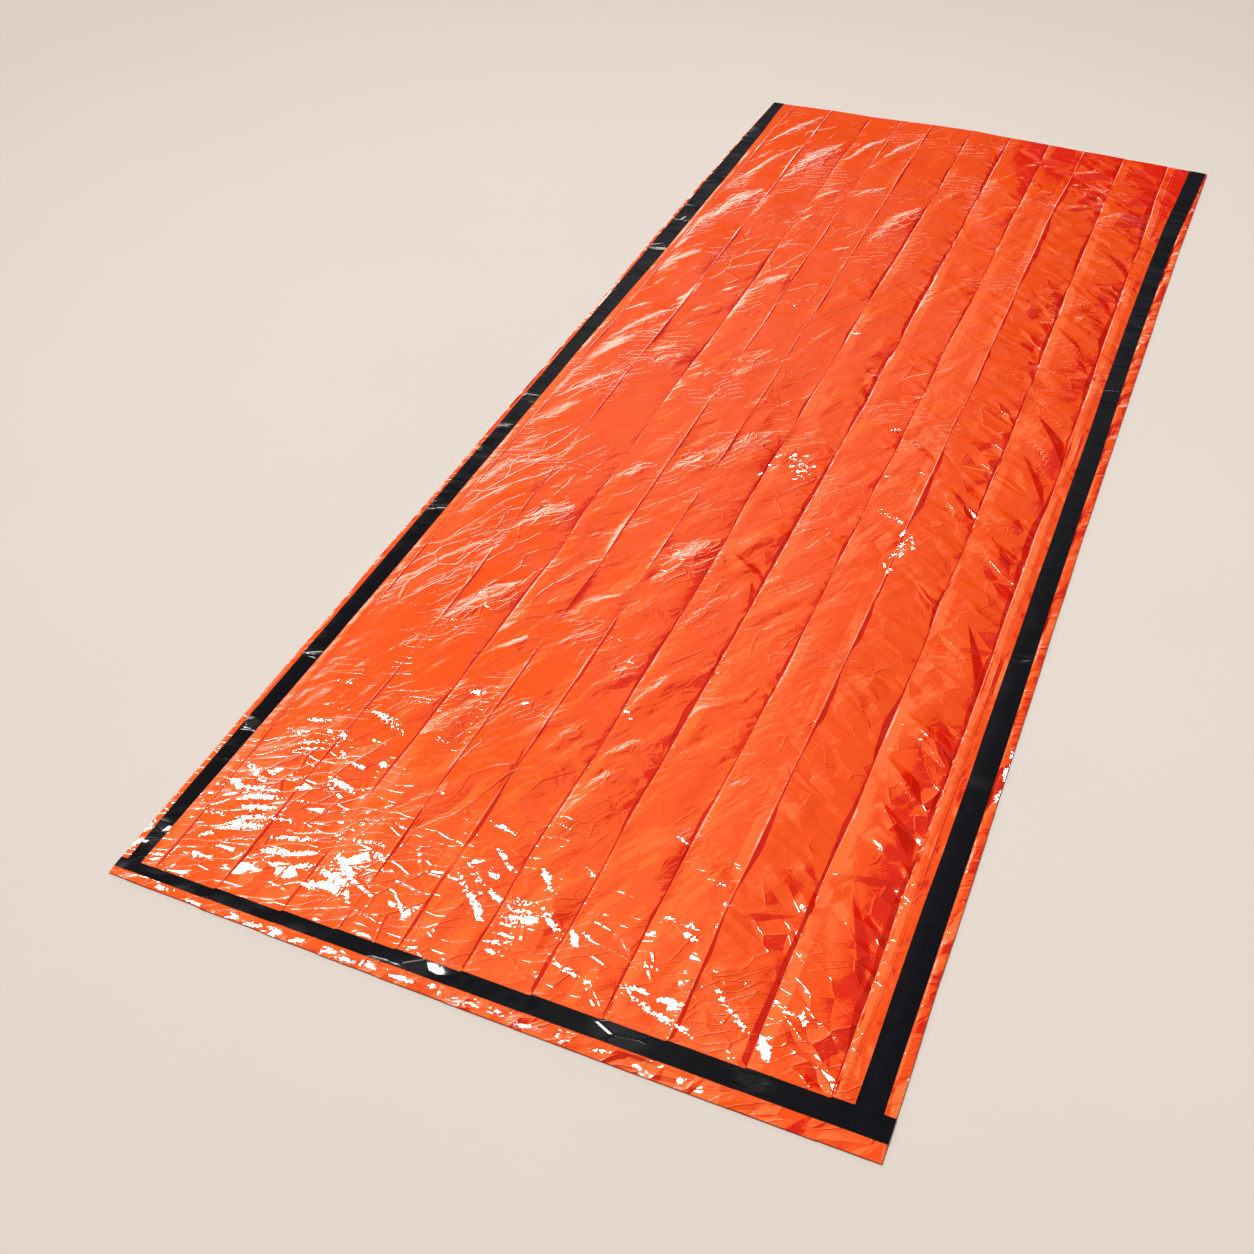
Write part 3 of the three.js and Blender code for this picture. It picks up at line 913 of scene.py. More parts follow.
def drawn_by_mouth(nominal, across_run):
    pull = np.clip(1 - (LENGTH - nominal) / EDGE_BOW_REACH, 0, 1)
    return pull * (bowed(*MOUTH_EDGE, across_run) - LENGTH)


film_line, film_part = spaced_columns(FILM_PITCH, 0, len(LENGTHWISE) - 1)
run = np.linspace(0, 1, FILM_ROWS)[:, None]
nominal = LENGTH * (FOOT_CLOSENESS * run + (1 - FOOT_CLOSENESS) * run**2)
nominal = np.repeat(nominal, len(film_line), axis=1)
film_run = column_run(film_line)
film_along = nominal + drawn_by_foot(nominal, film_run) + drawn_by_mouth(nominal, film_run)
front_film = lay_sheet("front_film", *film_points(film_line, film_part, film_along))

# %% [markdown]
# ## What the finish reads at each point
#
# The mesh holds the broad form. Everything sharper is drawn by the finish as bump, and for that each
# point of the film keeps a few numbers: how far it is from a crease, a ruck or a shard, how wrinkled
# the film is there, and how much painted shade deepens its colour. They could be painted by hand as
# vertex colours. Worked out from measures, they can be corrected in millimetres.

# %% Points of the front film
Noise = namedtuple("Noise", "cell seed")
RUCK_FELT = (0.3, 1.6)
RUCK_SPILL = 1.6


def store(piece, name, columns):
    """Keeps three numbers for each point of a piece, for its finish to read."""
    attribute = piece.data.attributes.new(name, "FLOAT_VECTOR", "POINT")
    attribute.data.foreach_set("vector", np.stack(columns, axis=-1).ravel())


def places_of(piece):
    """The points of a piece in millimetres: in the frame, and measured across and along the bag."""
    flat = np.empty(len(piece.data.vertices) * 3)
    piece.data.vertices.foreach_get("co", flat)
    places = flat.reshape(-1, 3) / MM
    return places, places[:, 0] + ORIGIN[0], places[:, 1] + ORIGIN[1]


def patches(noise):
    """Slow noise from -1 to 1 at the points of the front film."""
    return patchy(spot_across, spot_along, *noise)


spot, spot_across, spot_along = places_of(front_film)
nothing = np.zeros_like(spot_across)
crease_distance, crease_side, crease_width = nearest_crease(spot_across, spot_along)
ruck_offset, ruck_gain, ruck_width, streaky = ruck_places(spot_across, spot_along)
in_ruck = streaky * smooth(ruck_gain, *RUCK_FELT)
in_ruck = in_ruck * (1 - smooth(np.abs(ruck_offset), ruck_width, RUCK_SPILL * ruck_width))
print("points of the front film:", len(spot), "of which in rucks:", int(np.sum(in_ruck > 0.5)))

# %% [markdown]
# Some regions of the bag have a character of their own. The head's right corner is smooth and painted
# deep red as shade, the right half is dented and hardly streaked, some places on the left are calm, and
# the foot is rippled. A zone is given by where it sets in and where it gives out, across and along the bag.

# %% Zones of the bag
Zone = namedtuple("Zone", "across_in across_out along_in along_out")
HEAD_RIGHT = Zone((450, 530), None, (1800, 2030), None)
HEAD_DENTS = Zone((470, 560), None, (1750, 1900), None)
RIGHT_HALF = Zone((540, 660), None, None, None)
FAR_END = Zone(None, None, (800, 1900), None)
MOUTH_END = Zone(None, None, (1850, 2130), None)
LOWER_QUARTER = Zone(None, None, None, (420, 560))
OFF_FOOT = Zone(None, None, (70, 110), None)
CALM_STRIP = Zone(None, (112, 130), (300, 420), None)
CALM_EDGE = Zone(None, (36, 50), (1250, 1450), None)
CALM_FOOT = Zone(None, (110, 140), (230, 300), (460, 560))
FOOT_REACH_LEFT = 340.0
FOOT_REACH_SLOPE = 0.27
FOOT_FADE = (0.5, 1.2)
SIDE_MARGIN = (26, 30)
FOOT_MARGIN = (24, 30)
FAR_CALM = 0.45


def in_zone(zone):
    """1 inside a zone and 0 outside it, at the points of the front film."""
    share = 1.0
    for value, inner, outer in (
        (spot_across, zone.across_in, zone.across_out),
        (spot_along, zone.along_in, zone.along_out),
    ):
        if inner:
            share = share * smooth(value, *inner)
        if outer:
            share = share * (1 - smooth(value, *outer))
    return share


seal_left = spot_across - line_across(LEFT_SEAL, spot_along)
seal_right = line_across(RIGHT_SEAL, spot_along) - spot_across
seal_foot = spot_along - bowed(*FOOT_TAPE_UPPER, spot_across / WIDTH)
unsealed = smooth(np.minimum(np.minimum(seal_left, seal_right), seal_foot), 0, SEAL_SOFTNESS)
side_margin = smooth(np.maximum(-seal_left, -seal_right), *SIDE_MARGIN)
outer_margin = np.maximum(smooth(-seal_foot, *FOOT_MARGIN), side_margin)
foot_reach = FOOT_REACH_LEFT - FOOT_REACH_SLOPE * spot_across
foot_zone = 1 - smooth(spot_along, FOOT_FADE[0] * foot_reach, FOOT_FADE[1] * foot_reach)
far_calm = 1 - FAR_CALM * in_zone(FAR_END)
right_half = in_zone(RIGHT_HALF)
head_right = in_zone(HEAD_RIGHT)
print("points in sealed margins:", int(np.sum(unsealed == 0)))

# %% [markdown]
# How strongly the film is crinkled, in facets and in fine lines, changes from patch to patch. The table
# says by what share each zone calms the facets, the grain and the three sets of lines.

# %% Crinkle and wrinkles
Patch = namedtuple("Patch", "across along reach strength")
CRINKLED = [
    Patch(140, 130, 260, 0.15),
    Patch(420, 110, 110, 0.3),
    Patch(590, 80, 80, 0.3),
    Patch(715, 60, 60, 0.4),
    Patch(440, 965, 60, 1.0),
    Patch(628, 830, 60, 0.8),
    Patch(690, 1850, 220, 0.35),
    Patch(730, 350, 160, 0.35),
]
PATCH_CORE = 0.4
CRINKLE = 0.40
CRINKLE_CHANGE = 0.15
CRINKLE_NOISE = Noise(90, 900)
MARGIN_CRINKLE = 1.3
FOOT_GRAIN_LOSS = 0.85
RUCK_GRAIN = 1.9
RUCK_HATCHING = 0.8
Calm = namedtuple("Calm", "zone facets grain slant cross hatch")
CALMED = [
    Calm(HEAD_RIGHT, 0.9, 0.9, 0.6, 0.6, 0.6),
    Calm(CALM_STRIP, 0.5, 0.4, 0, 0, 0),
    Calm(CALM_EDGE, 0.6, 0.6, 0.5, 0.5, 0.5),
    Calm(CALM_FOOT, 0, 0, 0.5, 0.5, 0.5),
    Calm(RIGHT_HALF, 0.75, 0.60, 0.75, 0, 0.70),
]
Lines = namedtuple("Lines", "noise in_rucks low high")
SLANT_LINES = Lines(Noise(75, 941), 0.7, -0.1, 0.7)
CROSS_LINES = Lines(Noise(60, 942), 0, 0.1, 0.8)
HATCH_LINES = Lines(Noise(55, 943), 1.2, 0.0, 0.8)


def calm(kind):
    """What the zones leave of one kind of wrinkle."""
    share = 1.0
    for row in CALMED:
        share = share * (1 - getattr(row, kind) * in_zone(row.zone))
    return share


def lined(lines):
    """Where a set of lines shows: in some patches, and in rucks the more."""
    return smooth(patches(lines.noise) + lines.in_rucks * in_ruck, lines.low, lines.high)


crinkled = CRINKLE + CRINKLE_CHANGE * patches(CRINKLE_NOISE)
for patch in CRINKLED:
    apart = np.hypot(spot_across - patch.across, spot_along - patch.along)
    crinkled = crinkled + patch.strength * (1 - smooth(apart, PATCH_CORE * patch.reach, patch.reach))
crinkled = np.maximum(crinkled * far_calm * unsealed * calm("facets"), MARGIN_CRINKLE * outer_margin)
grain = far_calm * (1 - FOOT_GRAIN_LOSS * foot_zone) + RUCK_GRAIN * in_ruck * (1 - foot_zone)
grain = grain * calm("grain")
slanting = lined(SLANT_LINES) * far_calm * calm("slant")
crossing = np.maximum(lined(CROSS_LINES) + foot_zone, outer_margin) * calm("cross")
hatching = lined(HATCH_LINES) * far_calm + RUCK_HATCHING * in_ruck
hatching = hatching * (1 - foot_zone) * calm("hatch")
print("mean crinkle:", round(float(crinkled.mean()), 2))

# %% [markdown]
# At the foot the film lies in fine ripples across the bag, weaker right beside the tape. And no wrinkle
# on film is ruled: a slow and a quick stray bend all the nets a little.

# %% Ripples and bends
RIPPLE = 0.20
RIPPLE_CHANGE = 0.25
RIPPLE_LINES = Lines(Noise(60, 981), 0, -0.4, 0.3)
RIPPLE_AT_TAPE = 0.5
SLOW_BEND = 6
QUICK_BEND = 2.5
BENDS_ACROSS = (Noise(46, 951), Noise(17, 952))
BENDS_ALONG = (Noise(46, 953), Noise(17, 954))


def bent_by(slow, quick):
    """How far a net strays, in millimetres."""
    return SLOW_BEND * patches(slow) + QUICK_BEND * patches(quick)


rippled = foot_zone * (RIPPLE + RIPPLE_CHANGE * lined(RIPPLE_LINES))
rippled = rippled * (RIPPLE_AT_TAPE + (1 - RIPPLE_AT_TAPE) * in_zone(OFF_FOOT))
rippled = np.maximum(rippled, outer_margin)
bend_across = bent_by(*BENDS_ACROSS)
bend_along = bent_by(*BENDS_ALONG)
print("nets stray by up to", round(float(np.abs(bend_across).max()), 1), "mm")

# %% [markdown]
# On the left of some creases the film is dented all along, most of all beside the last two. There the
# facets are steeper, and painted shade makes the colour a little deeper.

# %% Dented film beside the creases
Beside = namedtuple("Beside", "crease reach share")
BESIDE = [
    Beside(8, 40, 0.3),
    Beside(9, 30, 0.8),
    Beside(10, 40, 0.5),
    Beside(12, 80, 1.2),
    Beside(13, 80, 1.3),
]
BESIDE_POWER = 0.7
DENT_NOISE = Noise(85, 961)
DENT_PATCHES = (-0.7, 0.4)
LAST_CREASE = 13
LAST_POWER = 0.5
LAST_REACH = 55.0
LAST_SHARE = 1.3
HEAD_DENT_SHARE = 0.15
RIGHT_DENT_SHARE = 0.4


def left_of(crease, reach, power):
    """1 just left of a crease, falling to 0 at that reach, and 0 on its right."""
    share = (line_across(crease, spot_along) - spot_across) / reach
    return np.where(share > 0, np.clip(1 - share, 0, 1) ** power, 0)


denting = nothing
for beside in BESIDE:
    denting = np.maximum(denting, beside.share * left_of(beside.crease, beside.reach, BESIDE_POWER))
denting = denting * smooth(patches(DENT_NOISE), *DENT_PATCHES)
beside_last = left_of(LAST_CREASE, LAST_REACH, LAST_POWER) * in_zone(LOWER_QUARTER)
denting = np.maximum(denting, LAST_SHARE * beside_last)
denting = np.maximum(denting, HEAD_DENT_SHARE * in_zone(HEAD_DENTS))
dented = np.maximum(denting, RIGHT_DENT_SHARE * right_half) * unsealed
print("mean denting:", round(float(dented.mean()), 2))

# %% [markdown]
# The film's colour carries painted light and shade by its lean: flanks that face the light are painted
# paler, and those that lean away are painted deeper. A painted shade kept at each point shifts that
# balance. Each strip has its own shift, since each hangs a little differently, and the slow lean of the
# loft is taken out again.

# %% Painted shade of the film
# Painted shade for each strip and each zone; a negative value paints the film lighter instead.
STRIP_PAINTED_SHADES = {2: -0.03, 3: 0.05, 5: 0.01, 6: 0.01, 7: -0.01, 8: -0.01, 9: 0.01, 11: -0.035, 12: -0.02}
BASE_PAINTED_SHADE = -0.02
HEAD_PAINTED_SHADE = 0.14
MOUTH_PAINTED_SHADE = 0.04
DENT_PAINTED_SHADE = 0.075
LAST_CREASE_PAINTED_SHADE = 0.05
FOOT_PAINTED_SHADE = -0.04
SOFT_PAINTED_SHADE = 0.06
SHADE_REACH = 14.0
LIP_NOISE = Noise(48, 971)
LIP_STRETCH = 0.4
LIP_PATCHES = (-0.3, 0.7)

# Painted shade: more at the head's right corner and the mouth, in the dents, beside the last crease and on
# each crease's shaded flank, less at the foot.
painted_shade = BASE_PAINTED_SHADE + HEAD_PAINTED_SHADE * head_right + MOUTH_PAINTED_SHADE * in_zone(MOUTH_END)
for index, value in STRIP_PAINTED_SHADES.items():
    past_left = spot_across > line_across(index, spot_along)
    before_right = spot_across <= line_across(index + 1, spot_along)
    painted_shade = painted_shade + np.where(past_left & before_right, value, 0)
soft_shade = np.clip(1 - crease_distance / SHADE_REACH, 0, 1) * np.clip(crease_side, 0, 1) * unsealed
painted_shade = painted_shade + DENT_PAINTED_SHADE * denting + LAST_CREASE_PAINTED_SHADE * beside_last
painted_shade = painted_shade + FOOT_PAINTED_SHADE * foot_zone + SOFT_PAINTED_SHADE * soft_shade
loft_here = loft_rise(spot_across, spot_along)
painted_shade = painted_shade + LIGHT_ACROSS * (loft_rise(spot_across + 1, spot_along) - loft_here)
painted_shade = painted_shade + LIGHT_ALONG * (loft_rise(spot_across, spot_along + 1) - loft_here)
lit_line = smooth(patchy(spot_across * LIP_STRETCH, spot_along, *LIP_NOISE), *LIP_PATCHES)
print("tone from", round(float(painted_shade.min()), 3), "to", round(float(painted_shade.max()), 3))

# %% [markdown]
# The numbers go into the mesh as attributes, three to a name, and the finish reads them by name. Image
# maps could hold them too, but attributes need no unwrapping and lie exactly where the points are.

# %% Keep the numbers on the film
HEAD_RUCK_LOSS = 0.6

ruck_height = ruck_gain * unsealed * pinned(spot_across, spot_along) * (1 - HEAD_RUCK_LOSS * head_right)
store(front_film, "crease", (crease_distance, crease_side, crease_width * unsealed))
store(front_film, "ruck", (ruck_offset, ruck_height, ruck_width))
store(front_film, "wrinkle", (slanting, crossing, hatching))
store(front_film, "bend", (bend_across * MM, bend_along * MM, nothing))
store(front_film, "shard", (shard_inside(spot_across, spot_along), nothing, nothing))
store(front_film, "glint", facing_softbox(spot).T)
store(front_film, "crumple", (crinkled, rippled, dented))
# The first number is painted shade for the film's colour; the other two shape the crease lip and the grain.
store(front_film, "painted_shade", (painted_shade, lit_line, grain))
kept_names = [item.name for item in front_film.data.attributes if item.data_type == "FLOAT_VECTOR"]
print("the front film keeps:", kept_names)

# %% [markdown]
# ## The back film
#
# The back panel lies flat on the floor, and only its margins ever show. Its solid could stay as it is,
# but would look thick beside the film. A flat, coarse sheet is enough.

# %% A flat sheet under the front film
BACK_HEIGHT = 0.6
BACK_PITCH = 24
BACK_ROWS = 90

back_line, back_part = spaced_columns(BACK_PITCH, 0, len(LENGTHWISE) - 1)
back_nominal = LENGTH * np.linspace(0, 1, BACK_ROWS)[:, None]
back_nominal = np.repeat(back_nominal, len(back_line), axis=1)
back_along = back_nominal + drawn_by_foot(back_nominal, column_run(back_line))
back_lines = np.array([line_across(index, back_nominal[:, 0]) for index in range(len(LENGTHWISE))]).T
back_span = back_lines[:, back_line + 1] - back_lines[:, back_line]
back_across = back_lines[:, back_line] + back_span * back_part
back_film = lay_sheet("back_film", back_across, back_along, np.full_like(back_across, BACK_HEIGHT))

# %% [markdown]
# ## The tapes
#
# Each tape is a narrow ribbon that lies on the film, a quarter of a millimetre above it, and follows
# it. A strip cut from the front film would do as well, but a grid of its own gives the ribbon straight
# edges. The foot tape lies over the ends of the side tapes, as at the real corners.

# %% Three ribbons
TAPE_LIFT = 0.25
TAPE_COLUMNS = 9
TAPE_ROWS = 430
FOOT_TAPE_PITCH = 5
LEFT_TAPE_LINE = 1
RIGHT_TAPE_LINE = 15
SIDE_TAPE_START = 4.0


def side_tape(name, first):
    """A ribbon between a line and the next, from under the foot tape to the mouth."""
    line = np.full(TAPE_COLUMNS, first)
    part = np.linspace(0, 1, TAPE_COLUMNS)
    near = LENGTHWISE[first].foot
    far = LENGTHWISE[first + 1].foot
    foot_run = (near + (far - near) * part) / WIDTH
    bottom = bowed(*FOOT_TAPE_LOWER, foot_run) + SIDE_TAPE_START
    top = bowed(*MOUTH_EDGE, foot_run)
    along = bottom + (top - bottom) * np.linspace(0, 1, TAPE_ROWS)[:, None]
    across, along, height = film_points(line, part, along)
    return lay_sheet(name, across, along, height + TAPE_LIFT)


def foot_tape(name):
    """The ribbon across the foot, over the whole width."""
    line, part = spaced_columns(FOOT_TAPE_PITCH, 0, len(LENGTHWISE) - 1)
    tape_run = np.array([LENGTHWISE[index].foot for index in line]) / WIDTH
    lower = bowed(*FOOT_TAPE_LOWER, tape_run)
    upper = bowed(*FOOT_TAPE_UPPER, tape_run)
    along = lower + (upper - lower) * np.linspace(0, 1, TAPE_COLUMNS)[:, None]
    across, along, height = film_points(line, part, along)
    return lay_sheet(name, across, along, height + 2 * TAPE_LIFT)


left_tape = side_tape("left_tape", LEFT_TAPE_LINE)
right_tape = side_tape("right_tape", RIGHT_TAPE_LINE)
bottom_tape = foot_tape("foot_tape")

# %% [markdown]
# In a few places a tape is kinked and catches the light. Each kink is listed with its reach and its
# strength. Towards the mouth the tapes also roll slowly from pale to dark.

# %% Kinks of the tapes
Kink = namedtuple("Kink", "tape across along reach strength")
KINKS = [
    Kink(left_tape, 12, 1600, 12, 1.0),
    Kink(left_tape, 12, 1490, 14, 1.0),
    Kink(left_tape, 12, 985, 18, 1.0),
    Kink(left_tape, 12, 905, 12, 0.8),
    Kink(left_tape, 12, 825, 10, 1.0),
    Kink(left_tape, 12, 700, 16, 1.0),
    Kink(left_tape, 12, 380, 12, 1.0),
    Kink(left_tape, 12, 245, 12, 1.0),
    Kink(left_tape, 12, 62, 30, 1.0),
    Kink(right_tape, 810, 1330, 14, 0.8),
    Kink(right_tape, 810, 700, 14, 0.6),
    Kink(right_tape, 810, 480, 14, 0.6),
    Kink(bottom_tape, 355, 26, 27, 0.8),
    Kink(bottom_tape, 570, 28, 26, 1.0),
    Kink(bottom_tape, 700, 30, 16, 0.9),
]
KINK_BREADTH = 1.6
KINK_CORE = 0.4
ROLL_HEIGHT = 0.9
ROLL_LENGTH = 38
ROLL_SEED = 991
ROLL_SETS_IN = (700, 1300)

for ribbon in (left_tape, right_tape, bottom_tape):
    _, ribbon_across, ribbon_along = places_of(ribbon)
    kinked = np.zeros_like(ribbon_across)
    for kink in KINKS:
        if kink.tape == ribbon:
            apart = np.hypot((ribbon_across - kink.across) / KINK_BREADTH, ribbon_along - kink.along)
            near = 1 - smooth(apart, KINK_CORE * kink.reach, kink.reach)
            kinked = np.maximum(kinked, kink.strength * near)
    roll = ROLL_HEIGHT * patchy(0 * ribbon_along, ribbon_along, ROLL_LENGTH, ROLL_SEED)
    roll = roll * smooth(ribbon_along, *ROLL_SETS_IN)
    store(ribbon, "kink", (kinked, roll, 0 * kinked))
print("kinks placed by hand:", len(KINKS))

# %% [markdown]
# ## Finishes
#
# A finish is a small network of nodes. They could be added and linked one by one. The class below wraps
# one value in that network instead, so that the maths can be written, and read, as Python.

# %% Wires
class Wire:
    """One value in a material's network. Operators add Math nodes, and node() adds any other node."""

    def __init__(self, tree, socket):
        self.tree = tree
        self.socket = socket

    def node(self, kind, settings, sockets, output=0):
        made = self.tree.nodes.new(kind)
        for name, value in settings.items():
            setattr(made, name, value)
        for name, value in sockets.items():
            if isinstance(value, Wire):
                self.tree.links.new(value.socket, made.inputs[name])
            else:
                made.inputs[name].default_value = value
        return Wire(self.tree, made.outputs[output])

    def math(self, operation, first, second=0.0):
        return self.node("ShaderNodeMath", {"operation": operation}, {0: first, 1: second})

    def __add__(self, other):
        return self.math("ADD", self, other)

    def __radd__(self, other):
        return self.math("ADD", other, self)

    def __sub__(self, other):
        return self.math("SUBTRACT", self, other)

    def __rsub__(self, other):
        return self.math("SUBTRACT", other, self)

    def __mul__(self, other):
        return self.math("MULTIPLY", self, other)

    def __rmul__(self, other):
        return self.math("MULTIPLY", other, self)

    def __truediv__(self, other):
        return self.math("DIVIDE", self, other)

    def least(self, value):
        """This value, but never less than the given one."""
        return self.math("MAXIMUM", self, value)

    def most(self, value):
        """This value, but never more than the given one."""
        return self.math("MINIMUM", self, value)

    def size(self):
        return self.math("ABSOLUTE", self)

    def sign(self):
        return self.math("SIGN", self)

    def ramp(self, low, high, start=0.0, end=1.0):
        """Eases from start to end as the value goes from low to high."""
        sockets = {"Value": self, "From Min": low, "From Max": high, "To Min": start, "To Max": end}
        return self.node("ShaderNodeMapRange", {"interpolation_type": "SMOOTHSTEP"}, sockets)


# %% [markdown]
# A few more helpers start a finish, read what the points keep, mix two colours, turn a height into bump
# and add a surface.

# %% Helpers for the finishes
def new_finish(name):
    """A new material with only its output, and a wire that carries the place on the object, in metres."""
    material = bpy.data.materials.new(name)
    material.use_nodes = True
    material.node_tree.nodes.clear()
    output = material.node_tree.nodes.new("ShaderNodeOutputMaterial")
    place = material.node_tree.nodes.new("ShaderNodeTexCoord")
    return material, output, Wire(material.node_tree, place.outputs["Object"])


def read_vector(place, name):
    """What is kept for each point under a name, as one vector."""
    return place.node("ShaderNodeAttribute", {"attribute_name": name}, {}, "Vector")


def read(place, name):
    """The three numbers kept for each point under a name."""
    vector = read_vector(place, name)
    return [place.node("ShaderNodeSeparateXYZ", {}, {0: vector}, axis) for axis in "XYZ"]


def mix_colours(share, first, second):
    sockets = {"Factor": share, 6: first, 7: second}
    return share.node("ShaderNodeMix", {"data_type": "RGBA"}, sockets, 2)


def bump_of(height):
    """The surface's direction when it is raised by a height in millimetres."""
    sockets = {"Strength": 1.0, "Distance": MM, "Height": height}
    return height.node("ShaderNodeBump", {}, sockets, "Normal")


def surface(place, sockets):
    return place.node("ShaderNodeBsdfPrincipled", {}, sockets, "BSDF")


# %% [markdown]
# Crumpled film shows nets of straight wrinkles with flat facets between them. A Voronoi texture gives
# just such a net: the distance from its lines makes a tent of every mesh, and a number of its own for
# each mesh decides how steep the tent is and whether it stands up or sinks. Four nets with different
# grain are laid over each other.

# %% Nets of wrinkles
Net = namedtuple("Net", "cells stretch turn width height slope")
SLANT_NET = Net(30, 2.4, 62, 1.5, 0.34, 0.48)
CROSS_NET = Net(78, 3.4, 22, 0.9, 0.23, 0.60)
DENT_NET = Net(52, 2.2, -24, 1.1, 0.24, 0.74)
HATCH_NET = Net(104, 2.6, 54, 0.9, 0.22, 0.16)


def net(place, shape):
    """A net of straight wrinkles: the distance from its lines, and a number of its own for each mesh."""
    turn = (0, 0, math.radians(shape.turn))
    sockets = {"Vector": place, "Rotation": turn, "Scale": (shape.stretch, 1, 1)}
    turned = place.node("ShaderNodeMapping", {"vector_type": "TEXTURE"}, sockets, "Vector")
    sockets = {"Vector": turned, "Scale": shape.cells}
    to_edge = {"voronoi_dimensions": "2D", "feature": "DISTANCE_TO_EDGE"}
    edge = place.node("ShaderNodeTexVoronoi", to_edge, sockets, "Distance")
    tint = place.node("ShaderNodeTexVoronoi", {"voronoi_dimensions": "2D"}, sockets, "Color")
    chance = place.node("ShaderNodeSeparateColor", {}, {0: tint}, "Red")
    return edge * (1000 / shape.cells), chance - 0.5


def wrinkle_height(place):
    """Height of the tents and of the thin lines of all four nets."""
    bend = read_vector(place, "bend")
    bent = place.node("ShaderNodeVectorMath", {"operation": "ADD"}, {0: place, 1: bend}, "Vector")
    slanting, crossing, hatching = read(place, "wrinkle")
    facets, ripples, dents = read(place, "crumple")
    grain = read(place, "painted_shade")[2]
    height = 0.0
    for shape, steep, drawn in (
        (SLANT_NET, facets, slanting),
        (CROSS_NET, ripples, crossing),
        (DENT_NET, dents, dents),
        (HATCH_NET, grain, hatching),
    ):
        edge, chance = net(bent, shape)
        tent = edge * chance * steep * shape.slope
        line = (1.0 - edge / shape.width).least(0.0) * drawn * shape.height
        height = height + tent + line
    return height


for shape in (SLANT_NET, CROSS_NET, DENT_NET, HATCH_NET):
    print("a net with meshes of about", round(1000 / shape.cells), "mm, turned by", shape.turn, "degrees")

# %% [markdown]
# The creases and the rucks are drawn from the distances that the points keep. A crease falls steeply on
# its shaded flank, and on the other one gently, with a narrow lip that catches the light here and
# there. A ruck is a straight flank with a long easy slope on both of its ends.

# %% Creases and rucks in the finish
LIP_WIDTH = 2.2
LIP_SHARE = 0.34
EASY_WIDTH = 14.0
EASY_SHARE = 0.6
FOLD_STEEPNESS = 0.30
LEAST_FOLD = 0.15
LEAST_FLANK = 0.1
RETURN_LENGTH = 70.0


def crease_depth(place):
    """Depth of the nearest crease, above zero in a valley and below it on a ridge."""
    off, side, width = read(place, "crease")
    lit_line = read(place, "painted_shade")[1]
    in_shade = side.ramp(-0.3, 0.3)
    shaded_flank = (1.0 - off / width.size().least(LEAST_FLANK)).least(0.0)
    lip = (1.0 - off / LIP_WIDTH).least(0.0) * lit_line * LIP_SHARE
    lit_flank = lip + (1.0 - off / EASY_WIDTH).least(0.0) * EASY_SHARE
    profile = shaded_flank * in_shade + lit_flank * (1.0 - in_shade)
    fold = width.size() * FOLD_STEEPNESS + LEAST_FOLD
    return profile * fold * width.sign()


def ruck_flank(place):
    """Height of the nearest ruck or dent."""
    off, rise, width = read(place, "ruck")
    flank = (0.5 - off / width).least(-0.5).most(0.5)
    behind = (1.0 + off.most(0.0) / RETURN_LENGTH).least(0.0)
    ahead = (1.0 - (off - width).least(0.0) / RETURN_LENGTH).least(0.0)
    return flank * behind * ahead * rise


# %% [markdown]
# In a shard the film is turned so that it shows the softbox. Noise tears the outlines of the shards,
# which would look cut out otherwise. The orange itself carries painted light and shade by the lean of
# the film: painted paler on flanks that face the light, painted deep red as shade on those that lean
# away. A thin share of a rough, metallic second surface gives the film its soft sheen. The shards and
# the sheen could be painted, but then they would no longer follow the wrinkles.

# %% Orange film
# Painted light for flanks that face the light, the film's own orange, painted shade for flanks that lean
# away, and the colour of the sheen.
FILM_PAINTED_LIGHT = (1.0, 0.140, 0.028, 1)
FILM_BODY = (0.98, 0.072, 0.003, 1)
FILM_PAINTED_SHADE = (0.86, 0.008, 0.0005, 1)
FILM_SHEEN = (1.0, 0.32, 0.05, 1)
PAINTED_LIGHT_LEAN = (-0.14, -0.03)
PAINTED_SHADE_LEAN = (0.08, 0.15)
SHEEN_SHARE = 0.055
SHARD_SHARE = 0.92
TEAR_SCALE = 260.0
TEAR_MIDDLE = 0.57
TEAR_DEPTH = 13.0


def shard_normal(place, bump):
    """The film's direction, turned in the shards to show the softbox."""
    inside = read(place, "shard")[0] - FAR_OUTSIDE
    sockets = {"Vector": place, "Scale": TEAR_SCALE, "Detail": 2.0}
    torn = place.node("ShaderNodeTexNoise", {}, sockets, "Fac")
    on_shard = (inside + (torn - TEAR_MIDDLE) * TEAR_DEPTH).ramp(-0.3, 0.5)
    sockets = {"Factor": on_shard * SHARD_SHARE, 4: bump, 5: read_vector(place, "glint")}
    turned = place.node("ShaderNodeMix", {"data_type": "VECTOR"}, sockets, 1)
    return place.node("ShaderNodeVectorMath", {"operation": "NORMALIZE"}, {0: turned}, "Vector")


def painted_film_colour(place, bump):
    """Orange with painted light and shade by the lean of the film, shifted by the painted shade that each
    point keeps.
    """
    sockets = {0: bump, 1: (LIGHT_ACROSS, LIGHT_ALONG, 0)}
    lean = place.node("ShaderNodeVectorMath", {"operation": "DOT_PRODUCT"}, sockets, "Value")
    lean = lean + read(place, "painted_shade")[0]
    with_painted_light = mix_colours(lean.ramp(*PAINTED_LIGHT_LEAN, 1.0, 0.0), FILM_BODY, FILM_PAINTED_LIGHT)
    return mix_colours(lean.ramp(*PAINTED_SHADE_LEAN), with_painted_light, FILM_PAINTED_SHADE)


